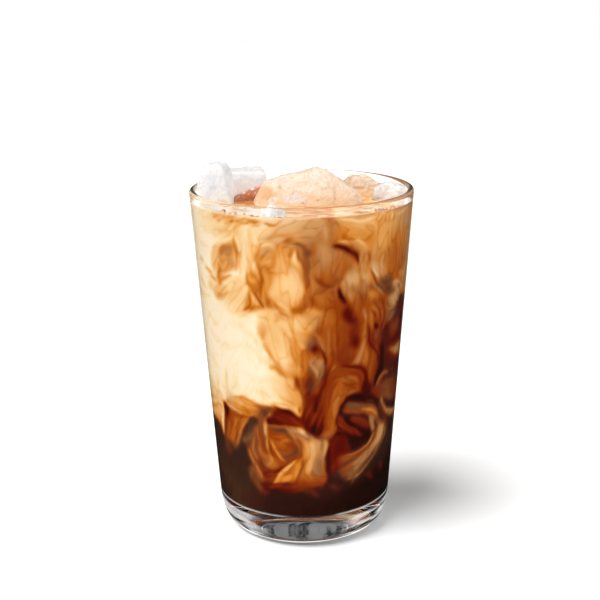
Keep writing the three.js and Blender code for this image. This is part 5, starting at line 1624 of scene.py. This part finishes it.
def makeDrink(pockets):
    canvas = paintDrink()
    piece = turned("drink", drinkOutline(), wallAngles(), drinkFinish())
    biteBy(piece, pockets)
    place = pointsOf(piece.data) / mm
    around = np.arctan2(place[:, 0], -place[:, 1])
    column = (around + math.pi) * 36 / canvas.step
    row = (place[:, 2] - canvas.low[1]) / canvas.step
    shades = canvas.pick(canvas.colour, column, row)
    radius = np.hypot(place[:, 0], place[:, 1])
    inside = smooth(0.5, 2.5, innerRadius(place[:, 2]) - radius)
    inside = inside * (place[:, 2] > 60)
    shades = shades * (1 - inside[:, None]) + topColours(place[:, 0], place[:, 1]) * inside[:, None]
    # the key light comes from the left, where a little less paint keeps the milk even
    lit = np.sin(around) * (1 - 0.5 * smooth(0.75, 1, -np.sin(around)))
    shades = shades * (1 + drinkShape["evening"] * lit)[:, None]
    # painted light and shade on the underside: dark grey, with pale streaks at the sides of its outer ring, which the
    # finish shows as glow
    above = smooth(glassShape["floorHeight"] + 0.2, glassShape["floorHeight"] + 1.2, place[:, 2])[:, None]
    streak = Noise(31).rough(around * 2.2, radius * 0.35, 0 * around)
    edge = smooth(*drinkShape["floorRing"], radius) * smooth(0.15, 0.75, np.abs(np.sin(around)) + 0.35 * streak)
    edge = edge[:, None]
    under = np.array(colour(*drinkShape["floorTone"])) * (1 - edge) + np.array(colour(*drinkShape["ringLightTone"])) * edge
    shades = shades * above + under * (1 - above)
    setColours(piece.data, "swirl", np.clip(shades, 0, 1))
    piece.data.polygons.foreach_set("use_smooth", [True] * len(piece.data.polygons))
    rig.ride(piece, "root")
    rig.slot(piece, "milk")
    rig.replaces(piece, "coffee", "milk")
    return piece


# Ice
lumps = {
    "voxel": 0.5,
    "smoothing": 4,
    "relief": 0.32,      # height of the melted hollows
    "reliefSize": 6.0,
    "creases": 0.12,
    "creaseSize": 2.4,
    "glow": 0.58,        # painted light: an even glow for the light that has gone round inside the ice
    "share": 0.32,       # of the light that falls on it, sent straight back
    # For each lump: its tones from the crown down to its foot in the drink, its frost lines and their lean
    # in degrees, and how clear it is. Then stains and painted glints: where (x, z), how wide and high, the tone and its
    # strength.
    "looks": {
        "ice_1": {"tones": [(247, 246, 246), (249, 246, 244), (251, 240, 230)], "line": (226, 222, 226), "lean": 60,
                  "clear": 0.1, "stainsAndGlints": [
                      # the first patch is a painted glint, a blue-grey reflection
                      ((-32.8, 135.6), (1.6, 0.9), (206, 216, 228), 0.6), ((-33, 133.6), (2, 1), (248, 222, 210), 0.4),
                      ((-29.4, 130.2), (2.4, 1), (236, 190, 156), 0.5), ((-35.6, 131), (2, 2), (250, 234, 218), 0.5)]},
        "ice_2": {"tones": [(249, 247, 246), (249, 243, 240), (250, 234, 220)], "line": (236, 224, 220), "lean": 25,
                  "clear": 0.06, "stainsAndGlints": [
                      ((-14.4, 133.4), (1.6, 1.2), (238, 200, 176), 0.5), ((-25, 134.6), (2, 1), (246, 222, 212), 0.4),
                      ((-24, 138), (4, 1), (236, 236, 238), 0.5)]},
        "ice_3": {"tones": [(204, 130, 88), (190, 108, 64), (176, 94, 50)], "line": (236, 186, 152), "lean": 35,
                  "clear": 0, "stainsAndGlints": [
                      # the first three patches are painted glints, pale reflections
                      ((-18.6, 133.6), (0.9, 0.5), (255, 240, 230), 0.9), ((-21.6, 132), (0.7, 0.5), (250, 226, 210), 0.8),
                      ((-16.6, 134.8), (1, 0.5), (246, 206, 184), 0.8), ((-24, 130.8), (2, 0.8), (164, 84, 48), 0.7),
                      ((-18, 131.4), (1.2, 0.8), (170, 90, 56), 0.6)]},
        "ice_4": {"tones": [(252, 230, 208), (251, 224, 196), (248, 206, 164)], "line": (228, 182, 146), "lean": 52,
                  "clear": 0.03, "stainsAndGlints": [
                      ((-13.6, 133.6), (3.6, 2.4), (236, 176, 120), 0.9), ((-11, 131.6), (1.8, 1.1), (254, 240, 226), 0.9),
                      ((-15.6, 131), (1.4, 1.8), (240, 190, 142), 0.8), ((-17, 134), (0.7, 2.6), (255, 244, 230), 0.8),
                      ((-8, 134), (1, 3), (244, 200, 158), 0.6), ((-2.6, 132), (4.6, 1.6), (240, 228, 218), 0.8),
                      ((1.6, 135), (5, 1), (252, 238, 222), 0.5), ((6, 131.2), (0.8, 0.4), (128, 98, 76), 0.6),
                      ((0.6, 130.6), (0.7, 0.4), (140, 110, 88), 0.6), ((-3.2, 133.8), (0.5, 0.7), (160, 150, 146), 0.5),
                      ((10, 131), (4, 1.4), (244, 198, 150), 0.8), ((12.6, 134), (0.8, 3), (222, 178, 142), 0.6),
                      ((-7, 138), (2.4, 0.7), (216, 200, 190), 0.4), ((5, 139.6), (3, 1.2), (252, 236, 220), 0.6)]},
        "ice_5": {"tones": [(246, 222, 196), (234, 196, 158), (232, 180, 128)], "line": (186, 140, 104), "lean": -12,
                  "clear": 0, "stainsAndGlints": [
                      ((18, 134.4), (1.6, 2), (208, 164, 128), 0.7), ((24, 137), (3, 0.7), (252, 236, 220), 0.7),
                      ((27.6, 131.4), (3, 1.4), (240, 198, 156), 0.7), ((22, 132.6), (3, 0.5), (190, 146, 112), 0.6),
                      ((28.6, 134), (1.2, 2.4), (248, 228, 206), 0.6)]},
        "ice_6": {"tones": [(251, 247, 243), (248, 240, 232), (248, 230, 208)], "line": (222, 206, 194), "lean": 20,
                  "clear": 0.3, "stainsAndGlints": [
                      ((38, 131.4), (0.7, 0.7), (255, 255, 255), 0.9), ((36, 130), (0.6, 0.6), (255, 255, 255), 0.9),
                      ((39.8, 130), (0.5, 0.5), (255, 255, 255), 0.9), ((34, 129.6), (2, 1), (246, 214, 178), 0.8)]},
        "ice_7": {"tones": [(252, 250, 248), (246, 240, 234), (246, 224, 196)], "line": (196, 190, 186), "lean": 70,
                  "clear": 0.2, "stainsAndGlints": [
                      # painted light and shade: a white lit facet between two grey shaded ones
                      ((-12.4, 128.4), (0.9, 1.4), (190, 192, 196), 0.8), ((-9, 128.2), (1.3, 1.6), (254, 252, 250), 0.9),
                      ((-6.6, 128), (0.7, 1.2), (206, 200, 194), 0.7)]},
    },
}


def mergedMesh(name):
    # the CAD lump's own mesh, with the points that its faces share joined again
    mesh = bpy.data.meshes.new(name)
    shell = bmesh.new()
    shell.from_mesh(frame["nodes"][name].data)
    bmesh.ops.remove_doubles(shell, verts=shell.verts, dist=1e-6)
    bmesh.ops.triangulate(shell, faces=shell.faces)
    shell.to_mesh(mesh)
    shell.free()
    return mesh


def normalsOf(mesh):
    flat = np.zeros(len(mesh.vertices) * 3)
    mesh.vertices.foreach_get("normal", flat)
    return flat.reshape(-1, 3)


def movePoints(mesh, points):
    mesh.vertices.foreach_set("co", points.ravel())
    mesh.update()


def applied(piece):
    # the mesh with its modifiers made real
    bpy.context.view_layer.update()
    whole = piece.evaluated_get(bpy.context.evaluated_depsgraph_get())
    piece.data = bpy.data.meshes.new_from_object(whole)
    piece.modifiers.clear()


def iceFinish(name, look):
    finish = Finish("ice_" + name[-1])
    tint = finish.node("ShaderNodeAttribute", {"attribute_name": "tint"}, output="Color")
    frost = finish.noise(260, 4, 0.6, 1.2)
    flecks = finish.noise(900, 2).between(0.58, 0.7)
    tone = finish.blend(frost.between(0.5, 0.75) * 0.2, tint, rgba(*look["line"]))
    tone = finish.blend(flecks * 0.22, tone, (1, 1, 1, 1))
    normal = finish.bump(frost + flecks * 0.1, 0.3, 0.0008)
    frosted = finish.node("ShaderNodeBsdfPrincipled", None, {
        "Base Color": finish.node("ShaderNodeVectorMath", {"operation": "SCALE"}, {0: tone, "Scale": lumps["share"]}),
        "Roughness": frost * 0.3 + 0.2,
        "IOR": 1.31,
        "Subsurface Weight": 0.5,
        "Subsurface Radius": (1.0, 0.8, 0.6),
        "Subsurface Scale": 0.003,
        "Coat Weight": 0.4,
        "Coat Roughness": 0.08,
        # painted light: the tint glows, for light that has gone round inside the ice
        "Emission Color": tone,
        "Emission Strength": lumps["glow"],
        "Normal": normal,
    })
    clear = finish.node("ShaderNodeBsdfPrincipled", None, {
        "Base Color": finish.blend(0.35, (1, 1, 1, 1), tint),
        "Roughness": flecks * 0.2 + 0.03,
        "IOR": 1.31,
        "Transmission Weight": 1.0,
        "Normal": normal,
    })
    share = finish.noise(120, 3, 0.5, 1.2).between(0.62 - look["clear"] * 0.5, 0.95 - look["clear"] * 0.5)
    return finish.surface(finish.node("ShaderNodeMixShader", None, {0: share, 1: frosted, 2: clear}))


def patchTones(shades, u, v, stainsAndGlints):
    # patches of tone, each with a soft edge
    for (across, up), (wide, high), tone, strength in stainsAndGlints:
        gap = np.hypot((u - across) / wide, (v - up) / high)
        share = (strength * smooth(1.3, 0.5, gap))[:, None]
        shades = shades * (1 - share) + np.array(colour(*tone)) * share
    return shades


def lumpColours(name, look, points):
    noise = Noise(int(name[-1]))
    x, y, z = points.T
    level = drinkShape["level"]
    rise = 1 - (z - level) / max(z.max() - level, 1) + 0.35 * noise.rough(x * 0.12, y * 0.12, z * 0.12)
    tones = np.array([colour(*tone) for tone in look["tones"]])
    shades = np.stack([np.interp(rise, [0, 0.6, 1], tones[:, k]) for k in range(3)], -1)
    bend = noise.rough(x * 0.1, y * 0.1, z * 0.1 + 5, 2)
    shades = patchTones(shades, x + 0.8 * bend, z + 0.8 * noise.at(x * 0.3, y * 0.3, z * 0.3), look["stainsAndGlints"])
    # specks, some pale and some dark, and lines that run across the lump
    speck = noise.at(x * 1.1, y * 1.1, z * 1.1 + 40)[:, None]
    shades = shades * (1 + 0.08 * smooth(0.3, 0.6, speck) - 0.45 * smooth(0.68, 0.85, -speck))
    lean = math.radians(look["lean"])
    along, across = x * math.cos(lean) + z * math.sin(lean), z * math.cos(lean) - x * math.sin(lean)
    for size, thin, strength in ((0.35, 0.08, 0.6), (0.8, 0.1, 0.45)):
        wave = noise.at(across * size + 2.2 * bend, y * 0.2, along * size * 0.22 + 9 * size)
        share = (strength * smooth(thin, 0, np.abs(wave)))[:, None]
        shades = shades * (1 - share) + np.array(colour(*look["line"])) * share
    return shades


def meltSurface(mesh, seed):
    # hollows and fine creases, as where ice has melted and frozen together
    noise = Noise(seed)
    points = pointsOf(mesh) / mm
    x, y, z = (points / lumps["reliefSize"]).T
    hollows = noise.rough(x, y, z, 2)
    x, y, z = (points / lumps["creaseSize"]).T
    bend = noise.rough(x * 0.3, y * 0.3, z * 0.3, 2)
    creases = 1 - np.abs(noise.at(x + bend, y * 0.5, z + bend)) * 4
    out = lumps["relief"] * hollows + lumps["creases"] * np.clip(creases, -1, 1)
    inner = np.hypot(points[:, 0], points[:, 1]) < innerRadius(points[:, 2]) - 1.2
    out = np.where(inner | (points[:, 2] > glassShape["height"] + 1), out, np.minimum(out, 0))
    movePoints(mesh, (points + normalsOf(mesh) * out[:, None]) * mm)


def makeLump(name, look):
    pocket = bpy.data.objects.new(name + "_pocket", mergedMesh(name))
    shrink = pointsOf(pocket.data) - normalsOf(pocket.data) * drinkShape["iceBite"] * mm
    movePoints(pocket.data, shrink)
    bpy.context.scene.collection.objects.link(pocket)
    piece = bpy.data.objects.new(name + "_melting", mergedMesh(name))
    bpy.context.scene.collection.objects.link(piece)
    skin = piece.modifiers.new("even", "REMESH")
    skin.mode = "VOXEL"
    skin.voxel_size = lumps["voxel"] * mm
    ease = piece.modifiers.new("ease", "SMOOTH")
    ease.iterations = lumps["smoothing"]
    applied(piece)
    meltSurface(piece.data, int(name[-1]) * 7)
    points = pointsOf(piece.data) / mm
    setColours(piece.data, "tint", lumpColours(name, look, points))
    piece.data.materials.clear()
    piece.data.materials.append(iceFinish(name, look))
    piece.data.polygons.foreach_set("use_smooth", [True] * len(piece.data.polygons))
    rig.ride(piece, "root")
    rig.slot(piece, "ice")
    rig.replaces(piece, name)
    return pocket


pockets = [makeLump(name, look) for name, look in lumps["looks"].items()]
print("ice is ready")
makeDrink(pockets)
for pocket in pockets:
    bpy.data.objects.remove(pocket)
print("drink is ready")


# Bubbles
bubbleShape = {
    # clusters on the free surface beside the wall: where round the glass in degrees, how many and how big
    "clusters": [((-50, -24), 16, (0.5, 1.1)), ((-24, -8), 12, (0.4, 0.9)), ((-4, 12), 7, (0.3, 0.6)),
                 ((38, 58), 12, (0.5, 1.1)), ((60, 80), 6, (0.4, 0.8)), ((110, 170), 8, (0.4, 0.9)),
                 ((-160, -100), 8, (0.4, 0.9))],
    "spread": 2.6,       # how far from the wall they float
    "rings": 6,
    "sides": 12,
    "tone": (250, 226, 194),
    "rimTone": (206, 138, 78),
}


def bubbleFinish():
    finish = Finish("foam_bubbles")
    spots = finish.noise(500, 2).between(0.4, 0.6)
    tone = finish.blend(spots, rgba(*bubbleShape["tone"]), rgba(*bubbleShape["rimTone"]))
    film = finish.node("ShaderNodeBsdfPrincipled", None, {
        "Base Color": tone, "Roughness": spots * 0.1 + 0.08, "IOR": 1.33, "Transmission Weight": 0.35,
        "Subsurface Weight": 0.3, "Subsurface Radius": (1.0, 0.7, 0.5), "Subsurface Scale": 0.001,
        "Coat Weight": 0.6, "Coat Roughness": 0.04,
    })
    return finish.surface(film)


def makeBubbles():
    draw = np.random.RandomState(11)
    vertices, faces = [], []
    rings, sides = bubbleShape["rings"], bubbleShape["sides"]
    for (low, high), count, (least, most) in bubbleShape["clusters"]:
        for k in range(count):
            angle = math.radians(draw.uniform(low, high))
            size = draw.uniform(least, most)
            away = innerRadius(drinkShape["level"]) - size - 0.15 - bubbleShape["spread"] * draw.uniform() ** 2
            height = drinkShape["level"] + 0.25 * size
            start = len(vertices)
            vertices.append((away * math.sin(angle), -away * math.cos(angle), height + size))
            for ring in range(1, rings):
                down = math.pi * ring / rings
                for side in range(sides):
                    turn = 2 * math.pi * side / sides
                    vertices.append((vertices[start][0] + size * math.sin(down) * math.cos(turn),
                                     vertices[start][1] + size * math.sin(down) * math.sin(turn),
                                     height + size * math.cos(down)))
            vertices.append((vertices[start][0], vertices[start][1], height - size))
            last = len(vertices) - 1
            for side in range(sides):
                after = (side + 1) % sides
                faces.append((start, start + 1 + side, start + 1 + after))
                for ring in range(rings - 2):
                    upper, lower = start + 1 + ring * sides, start + 1 + (ring + 1) * sides
                    faces.append((upper + side, lower + side, lower + after, upper + after))
                faces.append((last, last - sides + after, last - sides + side))
    piece = addObject("bubbles", [Vector(v) * mm for v in vertices], faces, bubbleFinish())
    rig.ride(piece, "root")
    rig.slot(piece, "milk")


makeBubbles()
print("bubbles are ready")


sizes = {"cad": cadBox, "visual": [list(corner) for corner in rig.bounds()]}
with open("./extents.json", "w") as page:
    json.dump(sizes, page)
print("sizes", sizes)
